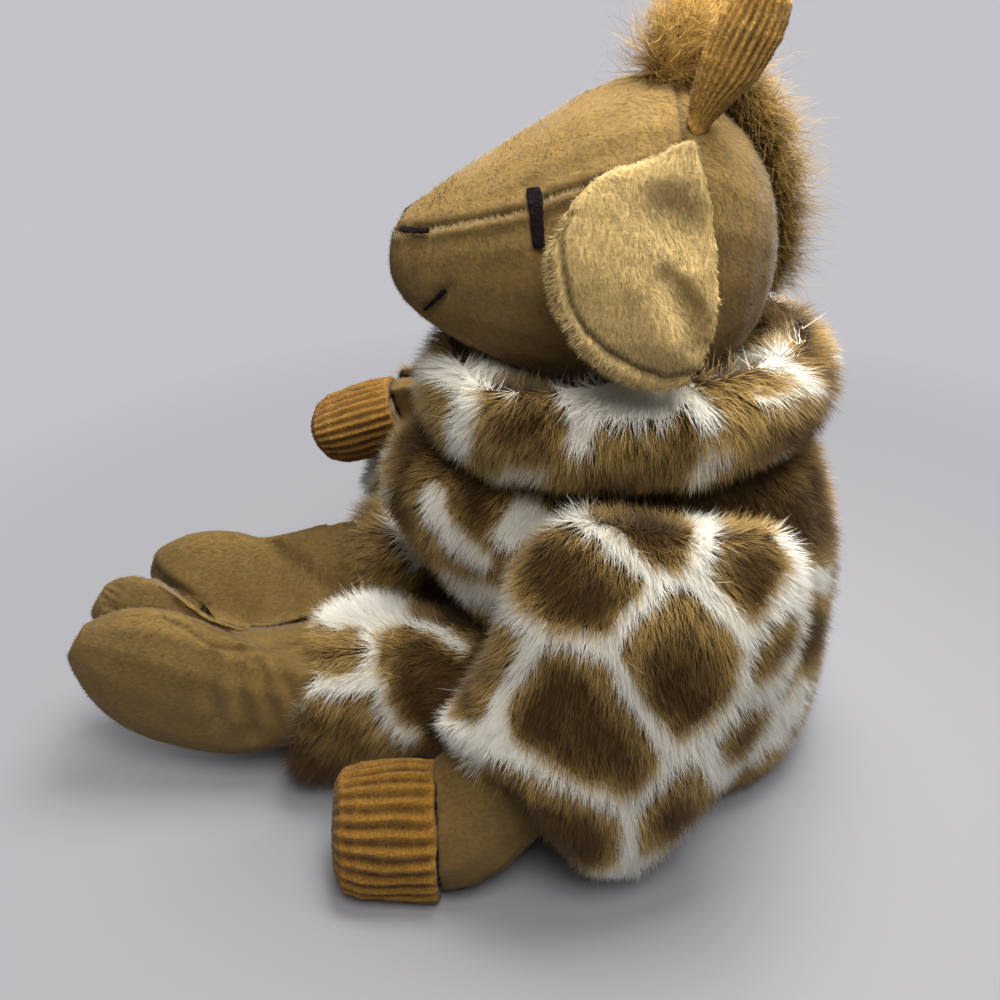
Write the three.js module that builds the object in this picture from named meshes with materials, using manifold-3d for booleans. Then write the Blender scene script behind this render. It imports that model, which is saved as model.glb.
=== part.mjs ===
// Sitting plush giraffe in a fur suit with a rolled collar, corduroy horns and hooves.
// Millimetres. +Z is up, the giraffe faces -Y and its left side is +X.
// The origin is the middle of the flat seat, on the surface that the toy sits on.
import * as THREE from 'three';
import { mergeVertices } from 'three/addons/utils/BufferGeometryUtils.js';
import Module from 'manifold-3d';

const wasm = await Module();
wasm.setup();

// Clearances and cloth
const gap = 0.35;            // between pieces that are sewn or laid against each other
const roomGap = 1.2;         // round the head, the neck and the hooves where they move
const overrun = 5;           // how far a cutting solid reaches past what it cuts
const seatFlat = 0.5;        // depth of the flats where soft parts press on the surface
const suitWall = 5;          // fur fabric with its backing
const skinWall = 2;          // short pile fabric of the head
const stitchHeight = 0.7;    // thread standing proud of the cloth

// Torso: the stuffed body under the suit
const torsoHeight = 142;
const torsoFront = 98;
const torsoBack = 63.5;
const torsoWidth = 110;
const sideFlatShare = 0.945; // of the width: where the sides are flat, for the sleeves to lie on
const sideFlat = torsoWidth / 2 * sideFlatShare;

// Collar: a thick roll of fur around the neck
const collarAcross = 43;
const collarDeep = 50;
const collarThick = 17;
const collarTall = 18.5;
const collarRise = 12;       // its middle above the top of the torso
const collarPlace = -18;
const collarDip = 8;
const collarHeight = torsoHeight + collarRise;

// Neck: a stuffed post with a round top that the head nods on
const neckRadius = 22;
const neckDepth = 14;        // how far it reaches down into the torso
const neckPlace = -14;
const neckFoot = torsoHeight - neckDepth;
const neckTurn = THREE.MathUtils.degToRad(25);
const headLift = THREE.MathUtils.degToRad(10);

// Head
const headLength = 116;
const headWidth = 86;
const headHeight = 92;
const headSink = 5;          // its underside below the middle of the collar
const noseReach = 92;
const headSquareness = 2.25;
const headFoot = collarHeight - headSink;
const headPivot = new THREE.Vector3(0, neckPlace, headFoot);

// Ears
const earLength = 65;
const earWidth = 45;
const earThick = 7;
const earLining = 2.5;
const earRootShares = [0.767, 0.711, 0.891];
const earLean = THREE.MathUtils.degToRad(18);

// Horns
const hornLength = 42;
const hornWidth = 18.5;
const hornThick = 12;
const hornRoot = 4;          // how far they start below the skin of the head
const hornRootShares = [0.558, 0.737, 0.88];
const hornBack = THREE.MathUtils.degToRad(18);
const hornOut = THREE.MathUtils.degToRad(6);
const hornRibs = 22;
const hornRibDepth = 0.5;

// Mane: long hair from between the horns down the back of the head
const maneWidth = 18;
const maneTall = 28;
const maneMiddleShare = 0.698;

// Stitched face
const eyeTall = 16.5;
const eyeWide = 4.4;
const eyeShares = [0.14, 0.375, 0.658];
const nostrilLong = 10;
const nostrilThick = 1.8;
const nostrilShares = [0.2, 0.078, 0.56];
const mouthLong = 9.5;
const mouthThick = 1.6;
const mouthShares = [0.14, 0.129, 0.37];
const mouthTilt = THREE.MathUtils.degToRad(40);

// Arms, sleeves and hooves
const shoulderPlace = -6;
const shoulderShare = 0.704; // of the height of the torso
const shoulder = new THREE.Vector3(0, shoulderPlace, torsoHeight * shoulderShare);
const armLong = 108;
const armWide = 42;
const armThick = 28;
const armAcross = sideFlat + armThick / 2 + gap;
const sleeveWide = 90;
const sleeveThick = 50;
const hoofLong = 34;
const hoofWide = 46;
const hoofThick = 29;
const hoofRibs = 26;
const hoofRibDepth = 1.1;

// Hips: the thighs roll in a round hollow of the torso
const hipRadius = 33.5;
const hipPlace = -50;
const hip = new THREE.Vector3(0, hipPlace, hipRadius - seatFlat);
const legsApart = 5;
const legsPart = 4.8;        // the thighs touch this far to the right of the middle
const hipAcross = (legsApart / 2 + sideFlat) / 2;

// Legs, trousers and feet
const legLong = 158;
const legTall = 52;
const legWide = 42;
const lobeWide = 25.6;       // each half of the cloven foot
const lobeApart = 24.8;
const kneePlace = 60;
const trouserLong = 80;
const trouserWide = sideFlat - legsApart / 2;
const trouserSquareness = 2.4;

// The legs as they lie: toes in, and on the right the knee raised and the trouser drawn up
const leftLeg = { toe: 21, knee: 0, drop: 0, draw: 0, flatShare: 0, drawnShare: 0,
  lift: THREE.MathUtils.degToRad(20) };
const rightLeg = { toe: 31.5, knee: 12, drop: 20, draw: 2, flatShare: 0.2, drawnShare: 0.2,
  lift: THREE.MathUtils.degToRad(8) };

// Facets and rows
const bodySides = 20;
const limbSides = 12;
const smallSides = 10;
const neckSides = 16;
const neckRows = 6;
const collarRows = 28;
const torsoRows = 13;
const headRows = 15;
const coarseRows = 11;
const maneRows = 13;
const earRows = 11;
const hornRows = 8;
const armRows = 12;
const sleeveRows = 14;
const hoofRows = 7;
const legRows = 12;
const trouserRows = 8;
const stitchArcs = 4;

const vector = (x, y, z) => new THREE.Vector3(x, y, z);
const xAxis = vector(1, 0, 0);
const yAxis = vector(0, 1, 0);
const zAxis = vector(0, 0, 1);

// Rows of numbers become a smooth run of rows.
function smoothRows(rows, count) {
  const size = rows[0].length;
  const places = rows.map((row, index) => index);
  const curve = new THREE.CubicInterpolant(places, rows.flat(), size);
  return Array.from({ length: count }, (unused, index) => {
    const row = curve.evaluate(index / (count - 1) * (rows.length - 1));
    return Array.from(row).slice(0, size);
  });
}

// A squareness of 2 is an ellipse, and a larger one fills its corners.
const squared = (value, squareness = 2) => Math.sign(value) * Math.abs(value) ** (2 / squareness);

// A ring is a centre, two half axes that give its plane, and a shape that may ripple.
function ringPoints({ centre, wide, tall, squareness, ripple = 0 }, sides) {
  return Array.from({ length: sides }, (unused, side) => {
    const angle = side / sides * 2 * Math.PI;
    const inward = side % 2 ? ripple : 0;
    const across = squared(Math.cos(angle), squareness) * (1 - inward / wide.length());
    const up = squared(Math.sin(angle), squareness) * (1 - inward / tall.length());
    return centre.clone().addScaledVector(wide, across).addScaledVector(tall, up);
  });
}

// Joins rings into a closed skin: round a loop, or with a fan over each end.
function loft(rings, sides, isLoop = false) {
  const points = rings.flatMap(ring => ringPoints(ring, sides));
  const faces = [];
  const bands = isLoop ? rings.length : rings.length - 1;
  for (let band = 0; band < bands; band += 1) {
    const near = band * sides;
    const far = (band + 1) % rings.length * sides;
    for (let side = 0; side < sides; side += 1) {
      const next = (side + 1) % sides;
      faces.push([near + side, near + next, far + next], [near + side, far + next, far + side]);
    }
  }
  if (!isLoop) {
    const first = points.push(rings[0].centre) - 1;
    const last = points.push(rings.at(-1).centre) - 1;
    const lastRing = (rings.length - 1) * sides;
    for (let side = 0; side < sides; side += 1) {
      const next = (side + 1) % sides;
      faces.push([first, next, side], [last, lastRing + side, lastRing + next]);
    }
  }
  const geometry = new THREE.BufferGeometry();
  geometry.setAttribute('position', new THREE.Float32BufferAttribute(points.flatMap(p => p.toArray()), 3));
  geometry.setIndex(faces.flat());
  return geometry;
}

// Only places and faces, with shared corners
function merged(geometry) {
  const plain = geometry.clone();
  plain.deleteAttribute('normal');
  plain.deleteAttribute('uv');
  return mergeVertices(plain);
}

// A geometry becomes a solid that can be joined and cut, with its faces turned outward.
function solid(geometry) {
  const plain = merged(geometry);
  const places = plain.attributes.position;
  const corners = Array.from(plain.index.array);
  let volume = 0;
  for (let face = 0; face < corners.length; face += 3) {
    const [a, b, c] = [0, 1, 2].map(n => vector(0, 0, 0).fromBufferAttribute(places, corners[face + n]));
    volume += a.dot(b.cross(c));
  }
  if (volume < 0) {
    corners.reverse();
  }
  return new wasm.Manifold(new wasm.Mesh({
    numProp: places.itemSize,
    vertProperties: new Float32Array(places.array),
    triVerts: new Uint32Array(corners),
  }));
}

function turned(geometry, pivot, axis, angle) {
  const copy = geometry.clone();
  copy.translate(-pivot.x, -pivot.y, -pivot.z);
  copy.applyMatrix4(new THREE.Matrix4().makeRotationAxis(axis, angle));
  copy.translate(pivot.x, pivot.y, pivot.z);
  return copy;
}

const cut = (body, ...tools) => tools.reduce((rest, tool) => rest.subtract(tool), body);
const join = (...bodies) => bodies.reduce((all, body) => all.add(body));

// Everything on one side of a plane, as a block far larger than the toy
const blockSize = 2 * (torsoHeight + headHeight + legLong);
function block(x, y, z) {
  const geometry = new THREE.BoxGeometry(blockSize, blockSize, blockSize);
  geometry.translate(x, y, z);
  return solid(geometry);
}
const floorBlock = block(0, 0, -blockSize / 2);
const outsideOf = (side, from) => block(side * (from + blockSize / 2), 0, 0);
const insideOf = (side, to) => block(side * (to - blockSize / 2), 0, 0);

// Materials
const cloth = (color, roughness) => new THREE.MeshStandardMaterial({ color, roughness, metalness: 0 });
const tanPile = cloth(0xa98650, 0.9);
const palePile = cloth(0xc6a878, 0.9);
const corduroy = cloth(0xc08a45, 0.95);
const suitFur = cloth(0x8a5c26, 1);
const maneFur = cloth(0x9c7434, 1);
const thread = cloth(0x2a1a12, 0.7);

const giraffe = new THREE.Group();

function place(name, body, material) {
  const mesh = body.getMesh();
  const geometry = new THREE.BufferGeometry();
  geometry.setAttribute('position', new THREE.BufferAttribute(new Float32Array(mesh.vertProperties), 3));
  geometry.setIndex(new THREE.BufferAttribute(new Uint32Array(mesh.triVerts), 1));
  geometry.computeVertexNormals();
  const piece = new THREE.Mesh(geometry, material);
  piece.name = name;
  giraffe.add(piece);
}

// Torso rows: height, reach to the front, reach to the back, half width
const torsoShares = [
  [0, 0.31, 0.8, 0.82],
  [0.05, 0.45, 0.93, 0.95],
  [0.18, 0.56, 1, 1],
  [0.35, 0.67, 1.01, 1],
  [0.53, 0.82, 1, 0.98],
  [0.69, 0.98, 0.955, 0.95],
  [0.81, 1.02, 0.86, 0.9],
  [0.915, 0.92, 0.73, 0.8],
  [0.98, 0.65, 0.48, 0.55],
];

function torsoForm(inset) {
  const tall = torsoHeight + seatFlat - 2 * inset;
  return solid(loft(smoothRows(torsoShares, torsoRows).map(([height, front, back, width]) => {
    const yFront = inset - front * torsoFront;
    const yBack = back * torsoBack - inset;
    return {
      centre: vector(0, (yFront + yBack) / 2, inset - seatFlat + height * tall),
      wide: xAxis.clone().multiplyScalar(width * torsoWidth / 2 - inset),
      tall: yAxis.clone().multiplyScalar((yBack - yFront) / 2),
    };
  }), bodySides));
}

// A round bar across the toy, about the axis of the hips
function hipBar(radius, from, to) {
  const bar = new THREE.CylinderGeometry(radius, radius, Math.abs(to - from), 2 * bodySides);
  bar.rotateZ(Math.PI / 2);
  bar.translate((from + to) / 2, hip.y, hip.z);
  return solid(bar);
}

// Head rows: along from the nose, half width, top, underside
const headShares = [
  [0.006, 0.18, 0.49, 0.38],
  [0.03, 0.32, 0.55, 0.32],
  [0.08, 0.45, 0.61, 0.25],
  [0.2, 0.6, 0.715, 0.15],
  [0.35, 0.78, 0.825, 0.07],
  [0.5, 0.93, 0.94, 0.02],
  [0.64, 1, 1, 0],
  [0.78, 0.98, 0.965, 0.02],
  [0.9, 0.8, 0.84, 0.12],
  [0.97, 0.5, 0.69, 0.26],
  [0.995, 0.22, 0.55, 0.38],
];

function headForm(swell, rows = headRows, sides = bodySides) {
  return loft(smoothRows(headShares, rows).map(([along, width, top, foot]) => ({
    centre: vector(0, along * (headLength + 2 * swell) - noseReach - swell,
      headFoot + (top + foot) / 2 * headHeight),
    wide: xAxis.clone().multiplyScalar(width * headWidth / 2 + swell),
    tall: zAxis.clone().multiplyScalar((top - foot) / 2 * headHeight + swell),
    squareness: headSquareness,
  })), sides);
}

// A place on the left of the head: shares of its half width, its length and its height
const onHead = ([across, along, up]) => vector(
  across * headWidth / 2, along * headLength - noseReach, headFoot + up * headHeight);

// The seam of the top panel seen from the side: along from the nose, height
const seamShares = [[-0.1, 0.535], [0.03, 0.56], [0.22, 0.614], [0.4, 0.685], [0.52, 0.75], [0.71, 0.855]];

// Everything above the seam and in front of the horns, reaching further by the clearance
function seamBlock(clearance) {
  const edge = seamShares.map(([along, up]) => new THREE.Vector2(
    along * headLength - noseReach, headFoot + up * headHeight - clearance));
  const back = edge.at(-1).x + clearance;
  const top = headFoot + headHeight + overrun;
  const outline = new THREE.Shape([...edge, new THREE.Vector2(back, edge.at(-1).y),
    new THREE.Vector2(back, top), new THREE.Vector2(edge[0].x, top)]);
  const prism = new THREE.ExtrudeGeometry(outline, { depth: 2 * headWidth, bevelEnabled: false });
  prism.translate(0, 0, -headWidth);
  prism.applyMatrix4(new THREE.Matrix4().makeBasis(yAxis, zAxis, xAxis));
  return solid(prism);
}

// Ear rows: down from the root, middle and half width along the head, half thickness
const earShares = [
  [0.02, -0.09, 0.18, 0.5],
  [0.12, -0.36, 0.53, 0.8],
  [0.22, -0.53, 0.8, 0.95],
  [0.5, -0.64, 1, 1],
  [0.67, -0.53, 0.89, 1],
  [0.82, -0.4, 0.76, 0.9],
  [0.94, -0.25, 0.52, 0.7],
  [0.99, -0.15, 0.25, 0.45],
];

// One layer of an ear, between two distances from the side of the head
function earForm(side, from, to) {
  const ear = loft(smoothRows(earShares, earRows).map(([down, middle, width, thick]) => ({
    centre: vector((from + to) / 2 * thick, middle * earWidth / 2, -down * earLength),
    wide: xAxis.clone().multiplyScalar((to - from) / 2 * thick),
    tall: yAxis.clone().multiplyScalar(width * earWidth / 2),
  })), limbSides);
  const root = onHead(earRootShares);
  ear.rotateY(-earLean);
  ear.translate(root.x, root.y, root.z);
  ear.scale(side, 1, 1);
  return solid(ear);
}

// Horn rows: up from the head, half width, half thickness
const hornShares = [
  [0, 0.3, 0.45],
  [0.12, 0.42, 0.62],
  [0.35, 0.78, 0.9],
  [0.6, 1, 1],
  [0.82, 0.92, 0.85],
  [0.95, 0.6, 0.55],
  [0.995, 0.25, 0.25],
];

function hornForm(side) {
  const horn = loft(smoothRows(hornShares, hornRows).map(([up, width, thick]) => ({
    centre: vector(0, 0, up * (hornLength + hornRoot) - hornRoot),
    wide: yAxis.clone().multiplyScalar(width * hornWidth / 2),
    tall: xAxis.clone().multiplyScalar(thick * hornThick / 2),
    ripple: hornRibDepth * width,
  })), 2 * hornRibs);
  const root = onHead(hornRootShares);
  horn.rotateX(-hornBack);
  horn.rotateY(hornOut);
  horn.translate(root.x, root.y, root.z);
  horn.scale(side, 1, 1);
  return solid(horn);
}

// Mane rows: turn round the head from its front, how far it stands out, half width
const maneShares = [
  [0.222, 0.3, 0.5],
  [0.238, 0.72, 0.85],
  [0.262, 1, 1],
  [0.31, 0.72, 1],
  [0.36, 0.55, 0.95],
  [0.43, 0.5, 0.9],
  [0.5, 0.46, 0.85],
  [0.545, 0.38, 0.7],
  [0.565, 0.2, 0.4],
];

function maneForm(swell, rows = maneRows) {
  const middle = vector(0, maneMiddleShare * headLength - noseReach, headFoot + headHeight / 2);
  const reachBack = headLength - noseReach - middle.y;
  return loft(smoothRows(maneShares, rows).map(([turn, stand, width]) => {
    const angle = turn * 2 * Math.PI - Math.PI / 2;
    const out = vector(0, Math.sin(angle), Math.cos(angle));
    const root = middle.clone().add(vector(0, out.y * reachBack, out.z * headHeight / 2));
    return {
      centre: root.addScaledVector(out, stand * maneTall / 2 - skinWall),
      wide: xAxis.clone().multiplyScalar(width * maneWidth / 2 + swell),
      tall: out.clone().multiplyScalar(stand * maneTall / 2 + skinWall + swell),
    };
  }), smallSides);
}

// The collar is a ring of round sections that dips at the front.
function collarForm(swell) {
  return loft(Array.from({ length: collarRows }, (unused, row) => {
    const angle = row / collarRows * 2 * Math.PI;
    const out = vector(Math.cos(angle), Math.sin(angle), 0);
    const dip = Math.max(0, -out.y) * collarDip;
    return {
      centre: vector(out.x * collarAcross, collarPlace + out.y * collarDeep, collarHeight - dip),
      wide: out.clone().multiplyScalar(collarThick + swell),
      tall: zAxis.clone().multiplyScalar(collarTall + swell),
    };
  }), smallSides, true);
}

// The neck is a post with a round top, about the point that the head nods on.
function neckForm(radius, foot) {
  const outline = [new THREE.Vector2(0, foot), new THREE.Vector2(radius, foot)];
  for (let row = 0; row < neckRows; row += 1) {
    const angle = row / neckRows * Math.PI / 2;
    outline.push(new THREE.Vector2(Math.cos(angle) * radius, headPivot.z + Math.sin(angle) * radius));
  }
  outline.push(new THREE.Vector2(0, headPivot.z + radius));
  const neck = new THREE.LatheGeometry(outline, neckSides);
  neck.rotateX(Math.PI / 2);
  neck.translate(0, headPivot.y, 0);
  return solid(neck);
}

// A limb follows stations: place, half width and half thickness, with the wide axis given.
function limbForm(stations, sides, rows, swell, squareness) {
  const smooth = smoothRows(stations.map(({ at, facing, wide, thick }) => (
    [...at.toArray(), ...facing.toArray(), wide, thick])), rows);
  const centres = smooth.map(row => vector(...row));
  const middles = centres.map(centre => centre.clone());
  middles[0].lerp(middles[1], -swell / middles[0].distanceTo(middles[1]));
  middles.at(-1).lerp(middles.at(-2), -swell / middles.at(-1).distanceTo(middles.at(-2)));
  return loft(smooth.map((row, index) => {
    const before = centres[Math.max(0, index - 1)];
    const after = centres[Math.min(rows - 1, index + 1)];
    const along = after.clone().sub(before).normalize();
    const [wide, thick] = row.slice(-2);
    const wideAxis = vector(...row.slice(3));
    wideAxis.addScaledVector(along, -wideAxis.dot(along)).normalize();
    return {
      centre: middles[index],
      wide: wideAxis.clone().multiplyScalar(wide + swell),
      tall: along.cross(wideAxis).multiplyScalar(thick + swell),
      squareness,
    };
  }), sides);
}

// Rows of arms and sleeves: forward of the shoulder, up and outward; half width and half
// thickness; then the way that the width faces. The left arm rests with its hoof on the
// surface, and the right one is held out over the legs.
const restingArm = {
  lift: [0, THREE.MathUtils.degToRad(45)],
  armShares: [
    [-0.019, 0.019, 0, 0.714, 0.857, 0, 0.7, -0.7],
    [0.111, -0.148, 0.009, 0.857, 0.929, 0.1, 0.75, -0.66],
    [0.296, -0.37, 0.037, 0.952, 1, 0.25, 0.6, -0.75],
    [0.481, -0.574, 0.074, 1, 1.036, 0.4, 0.3, -0.85],
    [0.602, -0.694, 0.102, 1.048, 1.036, 0.5, 0.1, -0.86],
    [0.685, -0.731, 0.106, 1, 0.929, 0.51, 0, -0.86],
    [0.759, -0.731, 0.106, 0.762, 0.643, 0.51, 0, -0.86],
  ],
  sleeveShares: [
    [-0.009, 0.315, -0.046, 0.6, 0.32, 0, 1, -0.3],
    [0, 0.241, -0.032, 0.8, 0.6, 0, 1, -0.3],
    [0.019, 0.093, -0.019, 0.944, 0.88, 0, 1, -0.35],
    [0.065, -0.093, 0, 1, 0.98, 0, 1, -0.4],
    [0.139, -0.278, 0.028, 1.022, 1.02, 0, 1, -0.5],
    [0.241, -0.463, 0.051, 1.022, 1.04, 0, 1, -0.6],
    [0.352, -0.611, 0.074, 1, 0.96, 0, 1, -0.7],
    [0.398, -0.667, 0.079, 0.889, 0.76, 0, 1, -0.7],
  ],
  hoofShares: [0.671, -0.728, 0.107],
  hoofAim: vector(0, -1, -0.024),
  hoofFacing: vector(0.51, 0, -0.86),
};
const raisedArm = {
  lift: [THREE.MathUtils.degToRad(-8), THREE.MathUtils.degToRad(20)],
  armShares: [
    [-0.019, 0, 0, 0.714, 0.857, 0, 0, 1],
    [0.204, -0.019, 0, 0.857, 0.929, -0.2, 0, 1],
    [0.454, 0, -0.009, 0.952, 1, -0.5, 0, 0.8],
    [0.685, 0.028, -0.028, 1, 1, -0.8, 0, 0.6],
    [0.815, 0.046, -0.046, 1.024, 1, -0.9, 0, 0.45],
    [0.87, 0.042, -0.051, 1, 0.929, -0.9, 0, 0.43],
    [0.944, 0.028, -0.053, 0.762, 0.643, -0.9, 0, 0.43],
  ],
  sleeveShares: [
    [-0.093, 0.259, -0.046, 0.444, 0.32, 0, 0.3, -1],
    [0, 0.194, -0.028, 0.6, 0.6, 0, 0.3, -1],
    [0.148, 0.093, -0.009, 0.756, 0.84, 0, 0.3, -1],
    [0.333, 0, 0.019, 0.822, 0.96, 0, 0.2, -1],
    [0.546, -0.093, 0.037, 0.8, 1, 0, 0, -1],
    [0.722, -0.139, 0.046, 0.756, 0.96, 0, -0.2, -1],
    [0.87, -0.125, 0.046, 0.711, 0.88, 0, -0.4, -1],
    [0.935, -0.102, 0.046, 0.6, 0.72, 0, -0.45, -1],
  ],
  hoofShares: [0.852, 0.045, -0.052],
  hoofAim: vector(-0.04, -0.96, -0.27),
  hoofFacing: vector(-0.9, 0, 0.43),
};

const mirrored = (side, point) => vector(side * point.x, point.y, point.z);
const alongArm = (side, [forward, up, out]) => vector(
  side * (armAcross + out * armLong), shoulder.y - forward * armLong, shoulder.z + up * armLong);

function armForm(side, shares, wide, thick, sides, rows, swell) {
  const stations = shares.map(row => ({
    at: alongArm(side, row),
    facing: mirrored(side, vector(...row.slice(-3))),
    wide: row[3] * wide / 2,
    thick: row[4] * thick / 2,
  }));
  return solid(limbForm(stations, sides, rows, swell));
}

// Hoof rows: along, half width, half thickness
const hoofShares = [
  [0, 1, 1],
  [0.25, 1.02, 1.05],
  [0.6, 1, 1.02],
  [0.85, 0.93, 0.88],
  [0.96, 0.78, 0.62],
  [1, 0.5, 0.3],
];

function hoofForm(side, { hoofShares: startShares, hoofAim, hoofFacing }, swell) {
  const start = alongArm(side, startShares);
  const along = mirrored(side, hoofAim).normalize();
  const wide = mirrored(side, hoofFacing);
  wide.addScaledVector(along, -wide.dot(along)).normalize();
  const thick = along.clone().cross(wide);
  return solid(loft(smoothRows(hoofShares, hoofRows).map(([share, wideShare, thickShare]) => ({
    centre: start.clone().addScaledVector(along, share * (hoofLong + 2 * swell) - swell),
    wide: wide.clone().multiplyScalar(wideShare * hoofWide / 2 + swell),
    tall: thick.clone().multiplyScalar(thickShare * hoofThick / 2 + swell),
    ripple: swell ? 0 : hoofRibDepth,
  })), 2 * hoofRibs));
}

// The raised thigh bends at the knee: a hump over the middle of the leg
const kneeShare = forward => Math.sin(Math.PI / 2 * Math.min(2, Math.max(0, forward / kneePlace))) ** 2;
const towardsToe = ({ toe }, forward) => hipAcross + (toe - hipAcross) * forward / trouserLong;

// Leg rows: forward of the hip; height of the middle, half height and half width
const legShares = [
  [0, 1.269, 0.88, 0.9],
  [0.253, 1.231, 0.962, 0.952],
  [0.475, 1.192, 1, 1.024],
  [0.582, 1.231, 1, 1.024],
  [0.658, 1.327, 0.962, 0.952],
  [0.709, 1.423, 0.769, 0.714],
];

// Rows of each half of the foot: as above, with its own width
const lobeShares = [
  [0.456, 1.192, 0.846, 0.55],
  [0.57, 1.25, 1.038, 0.85],
  [0.696, 1.423, 1.115, 0.97],
  [0.816, 1.731, 1.173, 1],
  [0.905, 2, 0.962, 0.95],
  [0.968, 2.192, 0.596, 0.7],
  [1, 2.308, 0.308, 0.35],
];
const legFacingShare = 0.2;
const trouserFacingShare = 0.38;

function legPiece(side, pose, shares, width, across, swell) {
  const stations = shares.map(([forwardShare, upShare, tallShare, wideShare]) => {
    const forward = forwardShare * legLong;
    const past = Math.max(0, forward - kneePlace) / (legLong - kneePlace);
    return {
      at: vector(side * (towardsToe(pose, forward) + across), hip.y - forward + past * pose.draw,
        upShare * legTall / 2 - past * pose.drop + pose.knee * kneeShare(forward)),
      facing: vector(0, legFacingShare * forward / trouserLong, 1),
      wide: tallShare * legTall / 2 * (1 - past * pose.flatShare),
      thick: wideShare * width / 2,
    };
  });
  return solid(limbForm(stations, limbSides, legRows, swell));
}

function legForm(side, pose, swell) {
  return join(legPiece(side, pose, legShares, legWide, 0, swell),
    legPiece(side, pose, lobeShares, lobeWide, lobeApart / 2, swell),
    legPiece(side, pose, lobeShares, lobeWide, -lobeApart / 2, swell));
}

// Trouser rows: forward of the hip; height of the middle and half height; half width
const trouserShares = [
  [0, 0.985, 0.985, 0.99],
  [0.35, 0.985, 1, 0.99],
  [0.65, 1, 1.015, 1.03],
  [0.85, 0.985, 1, 1.091],
  [0.95, 0.925, 0.925, 1.03],
  [1, 0.896, 0.806, 0.869],
];

function trouserForm(side, pose, swell) {
  return limbForm(trouserShares.map(([forward, up, tall, wide]) => ({
    at: vector(side * towardsToe(pose, forward * trouserLong),
      hip.y - forward * trouserLong * (1 - pose.drawnShare),
      up * hipRadius + pose.knee * kneeShare(forward * trouserLong)),
    facing: vector(0, trouserFacingShare * forward, 1),
    wide: tall * hipRadius,
    thick: wide * trouserWide / 2,
  })), limbSides, trouserRows, swell, trouserSquareness);
}

// Room that the thighs sweep in the torso as the legs lift
const sweepShares = [0, 0.5, 1];
const barRoom = hipBar(hipRadius + 2 * gap, -torsoWidth, torsoWidth);

function thighRoom() {
  const reach = trouserLong + hipRadius;
  const front = new THREE.BoxGeometry(2 * torsoWidth, reach, 2 * (hipRadius + 2 * gap));
  front.translate(0, hip.y - reach / 2, hip.z);
  const fronts = sweepShares.map(share => solid(turned(front, hip, xAxis, -share * leftLeg.lift)));
  const thighs = [[1, leftLeg], [-1, rightLeg]].flatMap(([side, pose]) => {
    const thigh = trouserForm(side, pose, 2 * gap);
    return sweepShares.map(share => solid(turned(thigh, hip, xAxis, -share * pose.lift)));
  });
  return join(barRoom, ...fronts, ...thighs);
}

// Room that the head and its mane sweep in the collar
function headRoom() {
  const forms = [headForm(roomGap, coarseRows, neckSides), maneForm(roomGap, coarseRows)];
  const turns = [-1, ...sweepShares, -sweepShares[1]].map(share => share * neckTurn);
  return turns.flatMap(turn => [0, headLift].flatMap(lift => forms.map(form => (
    solid(turned(turned(form, headPivot, xAxis, -lift), headPivot, zAxis, turn))))));
}

// Room that the collar takes from a rising sleeve, seen from the sleeve
function collarRoom([down, up]) {
  const steps = 2 * sweepShares.length - 1;
  return Array.from({ length: steps }, (unused, step) => solid(
    turned(collarForm(gap), shoulder, xAxis, down + (up - down) * step / (steps - 1))));
}

// Torso, suit, collar and neck
const legRoom = thighRoom();
const collarRing = solid(collarForm(0));
const neckRoom = neckForm(neckRadius + roomGap, neckFoot);
place('suit_body', cut(torsoForm(0), floorBlock, outsideOf(1, sideFlat), outsideOf(-1, sideFlat), legRoom,
  torsoForm(suitWall), collarRing, neckRoom), suitFur);
place('stuffed_body', cut(torsoForm(suitWall + gap), floorBlock, legRoom, collarRing, neckRoom), tanPile);
place('collar', cut(collarRing, neckRoom, ...headRoom()), suitFur);
place('neck', neckForm(neckRadius, neckFoot + gap), tanPile);

// Head, with a top panel let in along its seam
const head = solid(headForm(0));
const headSkin = solid(headForm(gap));
const panelRoom = cut(seamBlock(gap), solid(headForm(-skinWall - gap)));
const socket = new THREE.SphereGeometry(neckRadius + roomGap, neckSides, smallSides);
socket.rotateX(Math.PI / 2);
socket.translate(headPivot.x, headPivot.y, headPivot.z);
place('head', cut(head, panelRoom, solid(socket), neckRoom), tanPile);
place('head_top_panel', head.intersect(seamBlock(0)).subtract(solid(headForm(-skinWall))), tanPile);
place('mane', cut(solid(maneForm(0)), headSkin), maneFur);

// Stitches are bars with round ends, pressed through the side of the head: only their ends
// in a thin shell over its skin are kept.
const stitchShell = cut(solid(headForm(gap + stitchHeight)), headSkin);

function stitchForm(side, long, thick, atShares, turn) {
  const at = onHead(atShares);
  const reach = (long - thick) / 2;
  const outline = new THREE.Shape();
  outline.absarc(reach, 0, thick / 2, -Math.PI / 2, Math.PI / 2);
  outline.absarc(-reach, 0, thick / 2, Math.PI / 2, -Math.PI / 2);
  const bar = new THREE.ExtrudeGeometry(outline,
    { depth: headWidth, bevelEnabled: false, curveSegments: stitchArcs });
  bar.rotateZ(turn);
  bar.rotateY(Math.PI / 2);
  bar.rotateX(Math.PI / 2);
  bar.translate(at.x, at.y, at.z);
  bar.scale(side, 1, 1);
  return solid(bar).intersect(stitchShell);
}

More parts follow.
